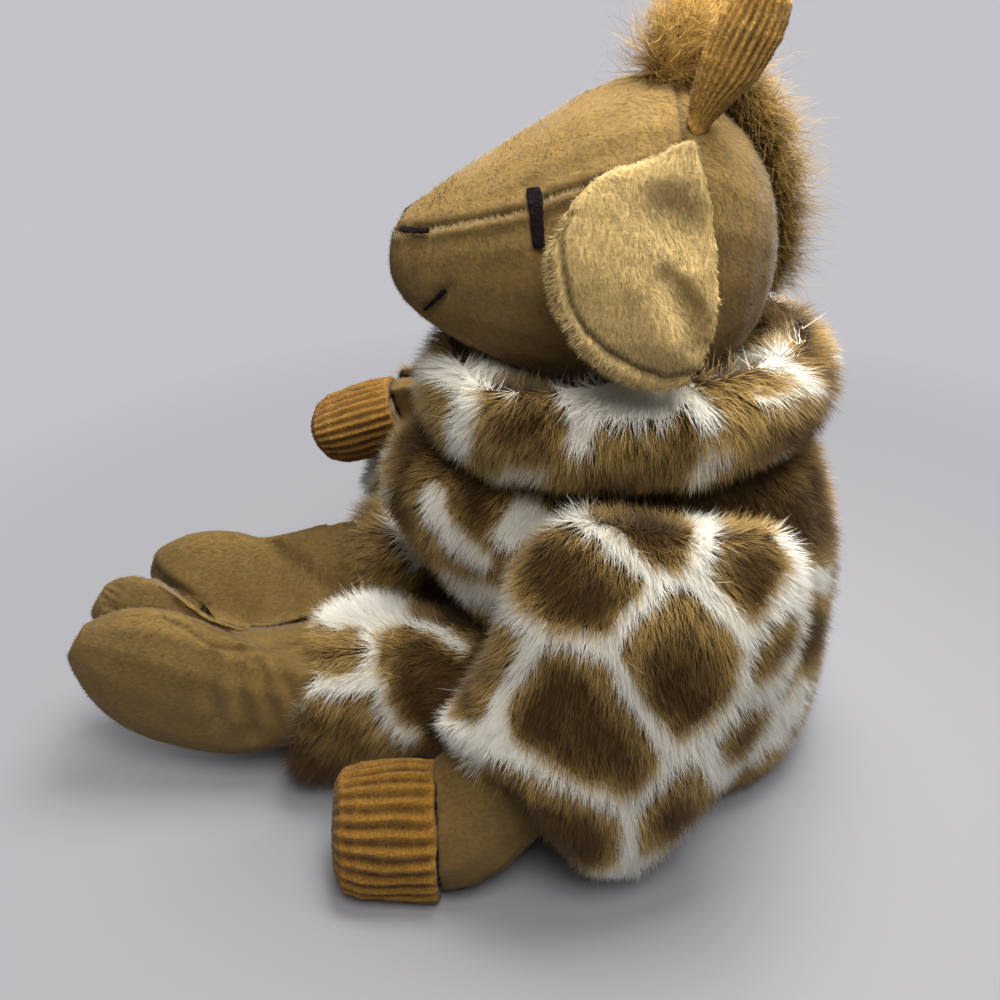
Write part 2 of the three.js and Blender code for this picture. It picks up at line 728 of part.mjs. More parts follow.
for (const [word, side] of [['left', 1], ['right', -1]]) {
  const backing = earThick - earLining;
  place('ear_' + word + '_back', cut(earForm(side, 0, backing), headSkin), tanPile);
  place('ear_' + word + '_lining', cut(earForm(side, backing + gap, earThick + gap), headSkin), palePile);
  place('horn_' + word, cut(hornForm(side), headSkin), corduroy);
  place('eye_stitch_' + word, stitchForm(side, eyeTall, eyeWide, eyeShares, Math.PI / 2), thread);
  place('nostril_stitch_' + word, stitchForm(side, nostrilLong, nostrilThick, nostrilShares, 0), thread);
  place('mouth_stitch_' + word, stitchForm(side, mouthLong, mouthThick, mouthShares, mouthTilt), thread);
}

// Arms, hooves and sleeves
for (const [word, side, pose] of [['left', 1, restingArm], ['right', -1, raisedArm]]) {
  const arm = swell => armForm(side, pose.armShares, armWide, armThick, limbSides, armRows, swell);
  const sleeve = armForm(side, pose.sleeveShares, sleeveWide, sleeveThick, bodySides, sleeveRows, 0);
  const body = insideOf(side, sideFlat + gap);
  place('arm_' + word, cut(arm(0), floorBlock, body, hoofForm(side, pose, gap)), tanPile);
  place('hoof_' + word, cut(hoofForm(side, pose, 0), floorBlock), corduroy);
  place('sleeve_' + word, cut(sleeve, floorBlock, body, arm(gap), hoofForm(side, pose, roomGap),
    ...collarRoom(pose.lift)), suitFur);
}

// Legs and trousers
for (const [word, side, pose] of [['left', 1, leftLeg], ['right', -1, rightLeg]]) {
  const otherLeg = insideOf(side, gap / 2 - side * legsPart);
  const bar = hipBar(hipRadius, side * legsApart / 2, side * (sideFlat - gap));
  const thigh = join(solid(trouserForm(side, pose, 0)), bar);
  place('leg_' + word, cut(legForm(side, pose, 0), floorBlock, otherLeg), tanPile);
  place('trouser_' + word, cut(thigh, legForm(side, pose, gap), floorBlock, otherLeg,
    outsideOf(side, sideFlat - gap)), suitFur);
}

export default giraffe;
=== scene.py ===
import math

import bmesh
import bpy
import numpy as np
from bpy.props import FloatProperty, FloatVectorProperty, IntProperty, PointerProperty
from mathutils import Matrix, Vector
from mathutils.bvhtree import BVHTree


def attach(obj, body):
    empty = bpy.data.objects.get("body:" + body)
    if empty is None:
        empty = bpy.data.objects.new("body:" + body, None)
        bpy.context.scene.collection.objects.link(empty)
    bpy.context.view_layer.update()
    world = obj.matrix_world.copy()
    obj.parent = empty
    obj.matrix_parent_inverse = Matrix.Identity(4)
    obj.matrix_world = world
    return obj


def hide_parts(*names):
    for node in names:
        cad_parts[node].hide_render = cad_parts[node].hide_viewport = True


bl_info = {
    "name": "Plush giraffe",
    "version": (1, 0, 0),
    "blender": (4, 5, 0),
    "location": "3D View > Sidebar > Giraffe",
    "description": "Dresses a sitting plush giraffe in fur, short pile and corduroy",
    "category": "Object",
}

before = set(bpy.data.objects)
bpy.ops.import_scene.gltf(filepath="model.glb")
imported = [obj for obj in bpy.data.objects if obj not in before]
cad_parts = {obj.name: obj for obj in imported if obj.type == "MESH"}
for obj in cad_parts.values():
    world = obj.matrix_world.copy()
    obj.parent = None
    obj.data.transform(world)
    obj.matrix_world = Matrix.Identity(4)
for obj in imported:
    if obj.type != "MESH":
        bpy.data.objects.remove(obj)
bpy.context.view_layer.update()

MM = 0.001
SIDES = ("left", "right")
TINY = 1e-9

# A pixel of the photograph at the toy
PIXEL = 0.28 * MM
# The camera of the photograph: 1000 by 1000 pixels, looking across the toy and down
IMAGE_SIZE = 1000
FOCAL_PIXELS = 1010
CAMERA_PLACE = Vector((0.303, -0.058, 0.290))
CAMERA_DOWN = math.radians(32)
FORWARD = np.array((-math.cos(CAMERA_DOWN), 0.0, -math.sin(CAMERA_DOWN)))
UPWARD = np.array((-math.sin(CAMERA_DOWN), 0.0, math.cos(CAMERA_DOWN)))
RIGHTWARD = np.array((0.0, 1.0, 0.0))


def linear(hex_colour):
    """A colour written as six hex digits, as linear red, green, blue and alpha."""
    parts = [int(hex_colour[i:i + 2], 16) / 255 for i in (0, 2, 4)]
    return [p / 12.92 if p <= 0.04045 else ((p + 0.055) / 1.055) ** 2.4 for p in parts] + [1.0]


def colour(name, description, hex_colour):
    return FloatVectorProperty(name=name, description=description, subtype="COLOR", size=4,
                               min=0, max=1, default=linear(hex_colour))


def measure(name, description, millimetres):
    """A length, kept in metres."""
    return FloatProperty(name=name, description=description, unit="LENGTH", default=millimetres * MM)


class PlushSizes(bpy.types.PropertyGroup):
    fur_length: measure("Fur length", "Length of a strand of the suit's fur", 8.4)
    fur_depth: measure("Fur depth", "How far the backing lies below the suit's mean surface", 3.4)
    fur_width: measure("Fur width", "Width of a strand of fur at its root", 0.21)
    fur_density: FloatProperty(name="Fur density", default=3.2,
                               description="Strands on each square millimetre of the suit")
    pile_length: measure("Pile length", "Length of the short pile of head and limbs", 1.6)
    mane_length: measure("Mane length", "Length of the hair of the mane", 17)


class PlushColours(bpy.types.PropertyGroup):
    patch: colour("Patch", "Dark middle of the suit's brown patches", "473110")
    patch_tip: colour("Patch tip", "Tips of the fur in the middle of a patch", "6a4f22")
    rim: colour("Patch rim", "Golden brown rim of a patch", "a8874a")
    rim_tip: colour("Patch rim tip", "Tips of the fur at the rim of a patch", "d2b370")
    patch_root: colour("Patch root", "Roots of the brown fur", "38270f")
    cream: colour("Cream", "Pale fur between the patches", "f7f5ea")
    cream_root: colour("Cream root", "Roots of the pale fur", "efeadc")
    tan: colour("Tan pile", "Short pile of head and limbs", "7f6639")
    # Partly a paler pile, and partly painted light: a lighter copy of the tan pile for the ears, which face
    # up to the lamp
    pale: colour("Pale pile", "Short pile of the ears", "b49a64")
    horn: colour("Horn corduroy", "Ribs of the horns", "a67f3c")
    hoof: colour("Hoof corduroy", "Ribs of the hooves", "79561d")
    # Painted shade in the grooves between the ribs
    groove: colour("Corduroy groove", "Grooves between the ribs", "38220b")
    mane: colour("Mane", "Hair of the mane", "8e7030")
    mane_tip: colour("Mane tip", "Tips of the hair of the mane", "dcb468")
    mane_root: colour("Mane root", "Roots of the mane", "3f2f13")
    thread: colour("Thread", "Stitches of the face", "140b0b")
    floor: colour("Floor", "Floor of the studio", "8e8e93")
    backdrop: colour("Backdrop", "Plain background of the studio", "c3c3c8")


def sizes():
    return bpy.context.scene.giraffe_sizes


def colours():
    return bpy.context.scene.giraffe_colours


# Meshes as arrays

def rng_of(name):
    """The same random numbers for a piece in every run."""
    return np.random.default_rng(sum((i + 1) * ord(c) for i, c in enumerate(name)))


def points_of(piece):
    places = np.empty(len(piece.data.vertices) * 3, np.float32)
    piece.data.vertices.foreach_get("co", places)
    return places.reshape(-1, 3).astype(np.float64)


def set_points(piece, places):
    piece.data.vertices.foreach_set("co", places.astype(np.float32).ravel())
    piece.data.update()


def triangles_of(piece):
    piece.data.calc_loop_triangles()
    corners = np.empty(len(piece.data.loop_triangles) * 3, np.int32)
    piece.data.loop_triangles.foreach_get("vertices", corners)
    return corners.reshape(-1, 3)


def edges_of(piece):
    ends = np.empty(len(piece.data.edges) * 2, np.int32)
    piece.data.edges.foreach_get("vertices", ends)
    return ends.reshape(-1, 2)


def unit(vectors):
    return vectors / np.maximum(np.linalg.norm(vectors, axis=-1, keepdims=True), 1e-12)


def normals_of(places, triangles):
    """Smooth normals at the vertices, weighted by area."""
    a, b, c = (places[triangles[:, i]] for i in range(3))
    faces = np.cross(b - a, c - a)
    total = np.zeros_like(places)
    for corner in range(3):
        for axis in range(3):
            total[:, axis] += np.bincount(triangles[:, corner], faces[:, axis], len(places))
    return unit(total)


def surface_of(piece):
    """The vertices of a piece, its triangles, and the normals at its vertices."""
    places, triangles = points_of(piece), triangles_of(piece)
    return places, triangles, normals_of(places, triangles)


def areas_of(corners):
    return np.linalg.norm(np.cross(corners[:, 1] - corners[:, 0], corners[:, 2] - corners[:, 0]), axis=1) / 2


def tree_of(places, triangles):
    return BVHTree.FromPolygons([Vector(p) for p in places], triangles.tolist())


def smoothed(values, ends, passes, shrink=0.5, swell=0.53):
    """Even out values over the mesh; with a swell it keeps its volume."""
    both = np.concatenate([ends, ends[:, ::-1]])
    count = np.maximum(np.bincount(both[:, 0], minlength=len(values)), 1)[:, None]
    for step in range(passes):
        for strength in (shrink, -swell):
            if strength:
                near = np.stack([np.bincount(both[:, 0], values[both[:, 1], axis], len(values))
                                 for axis in range(values.shape[1])], axis=1) / count
                values = values + strength * (near - values)
    return values


def waves(places, size, seed, count=7):
    """Smooth random values from -1 to 1 that change over a distance of size."""
    rng = np.random.default_rng(seed)
    directions = unit(rng.normal(size=(count, 3))) * rng.uniform(0.6, 1.6, (count, 1)) / size
    phases = rng.uniform(0, 2 * math.pi, count)
    return np.sin(places @ directions.T * math.pi + phases).sum(axis=1) / count * 1.6


def swirls(places, size, seed):
    """Three such values for each point, over a size in millimetres."""
    return np.stack([waves(places, size * MM, seed + axis) for axis in range(3)], axis=1)


def fading(values, width):
    """1 well below 0 and 0 well above it, over a width."""
    return 1 / (1 + np.exp(values / width))


def smooth_step(values, low, high):
    share = np.clip((values - low) / (high - low), 0, 1)
    return share * share * (3 - 2 * share)


# The photograph: lines, strokes and distances over it are in its pixels

def seen_at(places):
    """Where points fall in the photograph."""
    away = places - np.array(CAMERA_PLACE)
    depth = away @ FORWARD
    return (IMAGE_SIZE / 2 + FOCAL_PIXELS * (away @ RIGHTWARD) / depth,
            IMAGE_SIZE / 2 - FOCAL_PIXELS * (away @ UPWARD) / depth)


def ray_at(u, v):
    """The direction in which the camera sees a pixel of the photograph."""
    way = (FORWARD + RIGHTWARD * (u - IMAGE_SIZE / 2) / FOCAL_PIXELS
           - UPWARD * (v - IMAGE_SIZE / 2) / FOCAL_PIXELS)
    return Vector(way).normalized()


def segments_from(places, line):
    """How far points lie from each segment of a line, on which side of it, and how the segment runs."""
    u, v = seen_at(places)
    for (x0, y0), (x1, y1) in zip(line, line[1:]):
        dx, dy = x1 - x0, y1 - y0
        share = np.clip(((u - x0) * dx + (v - y0) * dy) / (dx * dx + dy * dy), 0, 1)
        gap = np.hypot(u - x0 - share * dx, v - y0 - share * dy)
        yield gap, np.sign((v - y0) * dx - (u - x0) * dy), dx, dy


def pixels_from(places, line):
    return np.min([gap for gap, side, dx, dy in segments_from(places, line)], axis=0)


def past_line(places, line):
    """How far points lie past a line, and the way across it."""
    nearest, past, way = np.full(len(places), np.inf), np.zeros(len(places)), np.zeros((len(places), 3))
    for gap, side, dx, dy in segments_from(places, line):
        closer = gap < nearest
        nearest = np.where(closer, gap, nearest)
        past = np.where(closer, side * gap, past)
        way[closer] = (-RIGHTWARD * dy - UPWARD * dx) / math.hypot(dx, dy)
    return past, way


def eased(over, width):
    """Lengths over a line in metres, rising gently over some pixels."""
    return (over * over / (over + width) * PIXEL)[:, None]


def drawn_back(places, line, early, weight, scale=0.85):
    """Draw back what lies past a line, from some pixels before it on."""
    past, way = past_line(places, line)
    return places - way * eased(np.maximum(past + early, 0) * weight, 8) * scale


def pressed_down(places, line, scale):
    """Press down what stands above a line."""
    u, v = seen_at(places)
    line = sorted(line)
    over = np.maximum(np.interp(u, [x for x, y in line], [y for x, y in line]) - v + 5, 0)
    return places - UPWARD * eased(over, 6) * np.broadcast_to(scale, len(places))[:, None]


def stroke(places, line, width):
    """1 on a line, and 0 away from it."""
    return np.exp(-(pixels_from(places, line) / width) ** 2)


def strokes(places, near, *lines):
    """Strokes of their own widths, as far as the surface faces the camera."""
    return [stroke(places, line, width) * near for line, width in lines]


def shifted(line, across, down):
    return [(u + across, v + down) for u, v in line]


def facing(places, normals):
    """1 where a surface faces the camera, 0 where it faces away."""
    way = unit(np.array(CAMERA_PLACE) - places)
    return np.clip((way * normals).sum(axis=1) * 4, 0, 1)


def on_left(vectors, places=None):
    """Mirror points, or directions at places, on the right of the toy over to its left."""
    side = vectors if places is None else places
    return np.where(side[:, :1] < 0, vectors * (-1, 1, 1), vectors)


# Bodies of soft pieces: points closer than WELD are one, two nodes swell by JOIN before they become one
# form, and a skin keeps above the floor
WELD = 0.01 * MM
JOIN = 0.6 * MM
SKIN_FLOOR = 0.05 * MM


def link(name, data):
    piece = bpy.data.objects.new(name, data)
    bpy.context.scene.collection.objects.link(piece)
    return piece


def even_form(name, nodes, voxel, passes, bend=None):
    """A smooth, even mesh over copies of CAD nodes, its points moved by a bend."""
    form = bmesh.new()
    for node in nodes:
        form.from_mesh(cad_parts[node].data)
    bmesh.ops.remove_doubles(form, verts=form.verts, dist=WELD)
    mesh = bpy.data.meshes.new(name)
    form.to_mesh(mesh)
    form.free()
    piece = link(name, mesh)
    if len(nodes) > 1:
        push(piece, JOIN)
    even = piece.modifiers.new("even", "REMESH")
    even.mode = "VOXEL"
    even.voxel_size = voxel * MM
    depsgraph = bpy.context.evaluated_depsgraph_get()
    piece.data = bpy.data.meshes.new_from_object(piece.evaluated_get(depsgraph))
    piece.modifiers.clear()
    set_points(piece, smoothed(points_of(piece), edges_of(piece), passes))
    if bend:
        set_points(piece, bend(points_of(piece)))
    piece.data.shade_smooth()
    return piece


def push(piece, amount):
    """Move a piece's surface along its normals by an amount in metres."""
    places, triangles, normals = surface_of(piece)
    set_points(piece, places + normals * np.broadcast_to(amount, len(places))[:, None])


def above_floor(piece):
    places = points_of(piece)
    places[:, 2] = np.maximum(places[:, 2], SKIN_FLOOR)
    set_points(piece, places)


def store(piece, name, values):
    values = np.asarray(values, np.float32)
    kind, key = ("FLOAT", "value") if values.ndim == 1 else ("FLOAT_VECTOR", "vector")
    layer = piece.data.attributes.new(name, kind, "POINT")
    layer.data.foreach_set(key, values.ravel())


def mark(piece, patch):
    """Give a skin the patches, or the dark of seams and painted shade, that the hair over it has."""
    store(piece, "strand", np.stack([patch, patch * 0, patch * 0], axis=1))


# Hair: a strand is a thin three-sided needle, and short pile lies as flat slivers

def roots_on(piece, count, rng, weight=None):
    """Random points of a surface with their normals, evenly spread by area and by weight at the vertices."""
    places, triangles, normals = surface_of(piece)
    corners = places[triangles]
    area = areas_of(corners)
    if weight is not None:
        area = area * weight[triangles].mean(axis=1)
    chosen = rng.choice(len(triangles), count, p=area / area.sum())
    share = rng.random((count, 2))
    share[share.sum(axis=1) > 1] = 1 - share[share.sum(axis=1) > 1]
    share = np.concatenate([1 - share.sum(axis=1, keepdims=True), share], axis=1)
    roots = (corners[chosen] * share[:, :, None]).sum(axis=1)
    return roots, unit((normals[triangles[chosen]] * share[:, :, None]).sum(axis=1))


# Strands: how fast they thin towards the tip, how high their ridge is as a share of half the width, and
# the shares of the surface below and of their own roundness in how they take the light
THINNING, RIDGE = 0.7, 1.2
FLAT_SHARE, ROUND_SHARE = 0.6, 0.7
STRAND_FLOOR = 0.2 * MM
# Large numbers that give each cell of space its own key
CELL_KEYS = np.array([73856093, 19349663, 83492791])


def clumped(tips, roots, size, pull):
    """Draw the tips of neighbouring strands together where they run alike."""
    cell = np.floor(roots / size + waves(roots, size * 3, 5)[:, None] * 0.6).astype(np.int64)
    ids = np.unique(cell @ CELL_KEYS, return_inverse=True)[1]
    tip, root = [np.stack([np.bincount(ids, p[:, a]) for a in range(3)], axis=1) / np.bincount(ids)[:, None]
                 for p in (tips, roots)]
    alike = (unit(tips - roots) * unit(tip - root)[ids]).sum(axis=1, keepdims=True)
    return tips + (tip[ids] - tips) * pull * np.clip(2.5 * alike - 1, 0, 1)


def strands(name, path, width, normals, patch, shade, sides, roll):
    """One mesh of strands, each with its patch value (on pile, the dark of seams and painted shade; on the
    mane, painted light and shade) and a random shade.

    path holds a row of points for each joint of the strands, and roll turns each about its length.
    """
    joints, count = len(path), len(path[0])
    run = unit(path[-1] - path[0])
    across = unit(np.cross(run, normals) + TINY)
    across = unit(across * np.cos(roll)[:, None] + np.cross(run, across) * np.sin(roll)[:, None])
    up = np.cross(across, run)
    half = np.broadcast_to(width, count)[:, None] / 2
    rows = []
    for joint in range(joints - 1):
        thick = half * (1 - joint / (joints - 1)) ** THINNING
        rows += [path[joint] - across * thick, path[joint] + across * thick]
        if sides == 3:
            rows.append(path[joint] + up * thick * RIDGE)
    rows.append(path[-1])
    each, tip = len(rows), len(rows) - 1
    faces = []
    pairs = ((0, 1), (1, 2), (2, 0)) if sides == 3 else ((0, 1),)
    for joint in range(joints - 1):
        for i, j in pairs:
            low, high = sides * joint, sides * (joint + 1)
            if joint < joints - 2:
                faces += [[low + i, low + j, high + j], [low + i, high + j, high + i]]
            else:
                faces.append([low + i, low + j, tip])
    if sides == 3:
        faces = [face[::-1] for face in faces]
    places = np.stack(rows, axis=1).reshape(-1, 3)
    faces = (np.arange(count)[:, None, None] * each + np.array(faces)[None]).reshape(-1, 3)
    mesh = bpy.data.meshes.new(name)
    mesh.vertices.add(len(places))
    mesh.vertices.foreach_set("co", places.astype(np.float32).ravel())
    mesh.loops.add(faces.size)
    mesh.loops.foreach_set("vertex_index", faces.astype(np.int32).ravel())
    mesh.polygons.add(len(faces))
    mesh.polygons.foreach_set("loop_start", np.arange(0, faces.size, 3, dtype=np.int32))
    mesh.update(calc_edges=True)
    along = np.concatenate([np.repeat(np.arange(joints - 1), sides), [joints - 1]]) / (joints - 1)
    strand = np.stack([np.repeat(patch, each), np.tile(along, count), np.repeat(shade, each)], axis=1)
    piece = link(name, mesh)
    store(piece, "strand", strand)
    mesh.shade_smooth()
    if sides == 3:
        around = np.stack([-across, across, up], axis=1)
        around = np.concatenate([np.tile(around, (1, joints - 1, 1)), np.zeros((count, 1, 3))], axis=1)
        shading = unit(normals[:, None] * FLAT_SHARE + around * ROUND_SHARE).reshape(-1, 3)
    else:
        shading = np.repeat(normals, each, axis=0)
    mesh.normals_split_custom_set_from_vertices(shading.astype(np.float32))
    return piece


def grow(name, roots, normals, comb, length, width, lean, curl, rng,
         patch=None, clump=(2.4, 0.35), stray=0.25, wave=0.0, joints=2, sides=3):
    """Strands from roots, leaning from the normal towards the comb and curling over to it.

    clump is the distance in millimetres over which tips are drawn together, and how far.
    """
    count = len(roots)
    comb = unit(comb - normals * (comb * normals).sum(axis=1, keepdims=True) + TINY)
    jitter = rng.normal(size=(count, 3)) * stray
    length = np.broadcast_to(length, count) * rng.uniform(0.7, 1.15, count)
    lean = np.broadcast_to(lean, count)
    path = [roots]
    for share in np.linspace(0, 1, joints - 1):
        angle = (lean + curl * share)[:, None]
        kinks = rng.normal(size=(count, 3)) * wave
        way = unit(normals * np.cos(angle) + comb * np.sin(angle) + jitter + kinks)
        path.append(path[-1] + way * (length / (joints - 1))[:, None])
    moved = clumped(path[-1], roots, clump[0] * MM, clump[1]) - path[-1]
    path = [p + moved * (i / (joints - 1)) ** 1.5 for i, p in enumerate(path)]
    for p in path:
        p[:, 2] = np.maximum(p[:, 2], STRAND_FLOOR)
    roll = rng.uniform(-0.3, 0.3, count) if sides == 2 else rng.uniform(-1, 1, count)
    if patch is None:
        patch = np.zeros(count)
    return strands(name, path, width, normals, patch, rng.random(count), sides, roll)


# Materials

class Nodes:
    """A short way to build a node tree. Sizes of noise are in millimetres."""

    def __init__(self, tree):
        self.tree = tree

    def feed(self, socket, value):
        if isinstance(value, bpy.types.NodeSocket):
            self.tree.links.new(value, socket)
        else:
            socket.default_value = value

    def add(self, kind, inputs=None, **settings):
        node = self.tree.nodes.new(kind)
        for key, value in settings.items():
            setattr(node, key, value)
        for key, value in (inputs or {}).items():
            self.feed(node.inputs[key], value)
        return node

    def mix(self, factor, a, b):
        return self.add("ShaderNodeMix", {0: factor, 6: a, 7: b}, data_type="RGBA").outputs[2]

    def math(self, operation, a, b):
        return self.add("ShaderNodeMath", {0: a, 1: b}, operation=operation).outputs[0]

    def ramp(self, value, low, high, to_low=0.0, to_high=1.0):
        return self.add("ShaderNodeMapRange", {0: value, 1: low, 2: high, 3: to_low, 4: to_high}).outputs[0]

    def tint(self, base, bright):
        return self.add("ShaderNodeHueSaturation", {"Color": base, "Value": bright}).outputs[0]

    def place(self):
        return self.add("ShaderNodeTexCoord").outputs["Object"]

    def noise(self, size, detail=2.0, stretch=(1, 1, 1)):
        """Noise whose features are about size across."""
        mapped = self.add("ShaderNodeMapping", {"Vector": self.place(), "Scale": stretch}).outputs[0]
        given = {"Vector": mapped, "Scale": 1 / (size * MM), "Detail": detail}
        return self.add("ShaderNodeTexNoise", given).outputs[0]

    def drift(self, noise, low, high):
        """Noise spread between two values."""
        return self.ramp(noise, 0.3, 0.7, low, high)

    def strand(self):
        """Three values of a strand: how far it stands inside a patch (on pile, the dark of seams and painted
        shade; on the mane, painted light and shade), the share along it, and its random shade.
        """
        values = self.add("ShaderNodeAttribute", attribute_name="strand").outputs["Vector"]
        return self.add("ShaderNodeSeparateXYZ", {0: values}).outputs[:]


class Finish(Nodes):
    """A material being built."""

    def __init__(self, name, roughness, sheen=0.0):
        self.made = bpy.data.materials.new(name)
        self.made.use_nodes = True
        super().__init__(self.made.node_tree)
        self.shader = self.tree.nodes["Principled BSDF"]
        for key, value in (("Roughness", roughness), ("Specular IOR Level", 0.15), ("Sheen Weight", sheen),
                           ("Sheen Roughness", 0.6)):
            self.shader.inputs[key].default_value = value

    def done(self, base, height=None, strength=0.0, deep=0.0):
        """The material, with its colour and a bump of some millimetres joined to its shader."""
        self.feed(self.shader.inputs["Base Color"], base)
        if height is not None:
            bump = self.add("ShaderNodeBump", {"Height": height, "Strength": strength, "Distance": deep * MM})
            self.feed(self.shader.inputs["Normal"], bump.outputs[0])
        return self.made


MADE = {}


def made_once(build, *args):
    """The material or node group of that name, built the first time it is asked for."""
    key = build.__name__ + "".join(a for a in args if isinstance(a, str))
    if key not in MADE:
        MADE[key] = build(*args)
    return MADE[key]


COLOUR, VALUE = "NodeSocketColor", "NodeSocketFloat"


def group_of(name, inputs, outputs):
    """A builder for a new node group, with what it is given and what it gives."""
    tree = bpy.data.node_groups.new(name, "ShaderNodeTree")
    for way, sockets in (("INPUT", inputs), ("OUTPUT", outputs)):
        for socket, kind in sockets.items():
            tree.interface.new_socket(socket, in_out=way, socket_type=kind)
    nodes = Nodes(tree)
    return nodes, nodes.add("NodeGroupInput").outputs, nodes.add("NodeGroupOutput").inputs


def hair_group():
    """Colour of a strand: dark at its root, light at its tip, each strand a little different."""
    nodes, given, out = group_of(
        "hair_colour", {"Root": COLOUR, "Middle": COLOUR, "Tip": COLOUR, "Variation": VALUE},
        {"Color": COLOUR})
    patch, along, shade = nodes.strand()
    low = nodes.mix(nodes.ramp(along, 0.15, 0.6), given["Root"], given["Middle"])
    high = nodes.mix(nodes.ramp(along, 0.5, 1.0), low, given["Tip"])
    change = nodes.math("MULTIPLY", nodes.math("SUBTRACT", shade, 0.5), given["Variation"])
    nodes.feed(out[0], nodes.tint(high, nodes.math("ADD", change, 1.0)))
    return nodes.tree


def hair_colour(nodes, root, middle, tip, variation):
    given = {"Root": root, "Middle": middle, "Tip": tip, "Variation": variation}
    return nodes.add("ShaderNodeGroup", given, node_tree=made_once(hair_group)).outputs[0]


def pile_group():
    """Short pile: patches where the nap lies differently, and fine grain."""
    nodes, given, out = group_of(
        "pile_colour", {"Color": COLOUR, "Contrast": VALUE}, {"Color": COLOUR, "Height": VALUE})
    broad, grain = nodes.noise(18, 3), nodes.noise(1.1, 3, (1, 0.55, 1))
    change = nodes.math("ADD", nodes.math("MULTIPLY", nodes.math("SUBTRACT", broad, 0.5), 0.5),
                        nodes.math("MULTIPLY", nodes.math("SUBTRACT", grain, 0.5), 0.9))
    bright = nodes.math("ADD", nodes.math("MULTIPLY", change, given["Contrast"]), 1.0)
    nodes.feed(out[0], nodes.tint(given["Color"], bright))
    nodes.feed(out[1], grain)
    return nodes.tree


def creased(nodes, base):
    """Darken a colour along seams, and with painted shade in creases, folds, hollows and under things."""
    return nodes.tint(base, nodes.ramp(nodes.strand()[0], 0, 1, 1.0, 0.3))


def brighter(base, share):
    return [min(1, v * share) for v in base[:3]] + [1]


def suit_fur_material():
    """Cream outside a patch, golden brown at its rim and dark brown in its middle."""
    finish = Finish("suit_fur", 0.85, 0.1)
    c = colours()
    dark = hair_colour(finish, c.patch_root, c.patch, c.patch_tip, 0.65)
    rim = hair_colour(finish, c.patch_root, c.rim, c.rim_tip, 0.5)
    cream = hair_colour(finish, c.cream_root, c.cream, c.cream, 0.15)
    patch = finish.strand()[0]
    sway = finish.drift(finish.noise(24), -0.22, 0.12)
    brown = finish.mix(finish.ramp(finish.math("ADD", patch, sway), 0.55, 0.95), rim, dark)
    mixed = finish.mix(finish.ramp(patch, 0.48, 0.52), cream, brown)
    return finish.done(finish.tint(mixed, finish.drift(finish.noise(20), 0.85, 1.12)))


def suit_backing_material():
    finish = Finish("suit_backing", 1.0)
    c = colours()
    return finish.done(finish.mix(finish.ramp(finish.strand()[0], 0.47, 0.53), c.cream_root, c.patch_root))


def pile_material(name, base):
    finish = Finish(name, 0.95, 0.2)
    finish.shader.inputs["Sheen Tint"].default_value = base
    given = {"Color": brighter(base, 0.9), "Contrast": 0.8}
    pile, height = finish.add("ShaderNodeGroup", given, node_tree=made_once(pile_group)).outputs
    return finish.done(creased(finish, pile), height, 0.4, 0.5)


def pile_hair_material(name, base):
    finish = Finish(name, 0.95, 0.22)
    hair = hair_colour(finish, brighter(base, 0.7), base, brighter(base, 1.25), 0.9)
    return finish.done(creased(finish, finish.tint(hair, finish.drift(finish.noise(18, 3), 0.88, 1.1))))


def corduroy_material(name, base):
    finish = Finish(name, 0.95, 0.05)
    rib = finish.add("ShaderNodeAttribute", attribute_name="rib").outputs["Fac"]
    grain = finish.noise(0.8, 4)
    # Painted highlight on the crests of the ribs, and painted shade in the grooves between them
    crest_highlight = finish.mix(finish.ramp(rib, 0.2, 0.9), base, brighter(base, 1.35))
    ribbed = finish.mix(finish.ramp(rib, -0.7, 0.1), colours().groove, crest_highlight)
    spots = finish.drift(finish.noise(6, 3), -0.12, 0.1)
    bright = finish.math("ADD", finish.ramp(grain, 0.25, 0.75, 0.55, 1.35), spots)
    return finish.done(finish.tint(ribbed, bright), grain, 0.8, 0.6)


def mane_material():
    """Paler in the tuft, as painted light, and darker, as painted shade, where the hair grows in towards the
    head.
    """
    finish = Finish("mane_hair", 0.6)
    c = colours()
    hair = hair_colour(finish, c.mane_root, c.mane, c.mane_tip, 1.2)
    patch = finish.strand()[0]
    mixed = finish.mix(finish.ramp(patch, 0, 1, 0, 0.9), hair, c.mane_tip)
    return finish.done(finish.tint(mixed, finish.ramp(patch, -0.8, 0, 0.3, 1)))


def thread_material():
    finish = Finish("thread", 0.95)
    lines = finish.noise(0.9, 2, (0.3, 0.3, 1))
    return finish.done(finish.tint(colours().thread, finish.drift(lines, 0.5, 1.4)), lines, 0.7, 0.5)


def dress(piece, finish, body, slot, replaces=()):
    """Give a piece its finish, the body that it rides on and what it stands for."""
    piece.data.materials.clear()
    piece.data.materials.append(finish)
    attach(piece, body)
    if replaces:
        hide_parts(*replaces)
    return piece


# The print of the suit. The patches that the photograph shows: middle across and down, long and short
# size, all in pixels, and the turn of the long side in degrees
PATCHES = {
    "sleeve_left": [(571, 574, 122, 94, -15), (683, 662, 145, 113, 80), (584, 729, 172, 122, -50),
                    (483, 664, 98, 58, 50), (660, 527, 112, 62, -18), (745, 562, 116, 82, -65),
                    (776, 636, 68, 36, 75), (557, 824, 160, 104, -40), (686, 806, 116, 74, 58),
                    (737, 748, 86, 40, 58), (442, 744, 74, 54, 80)],
}
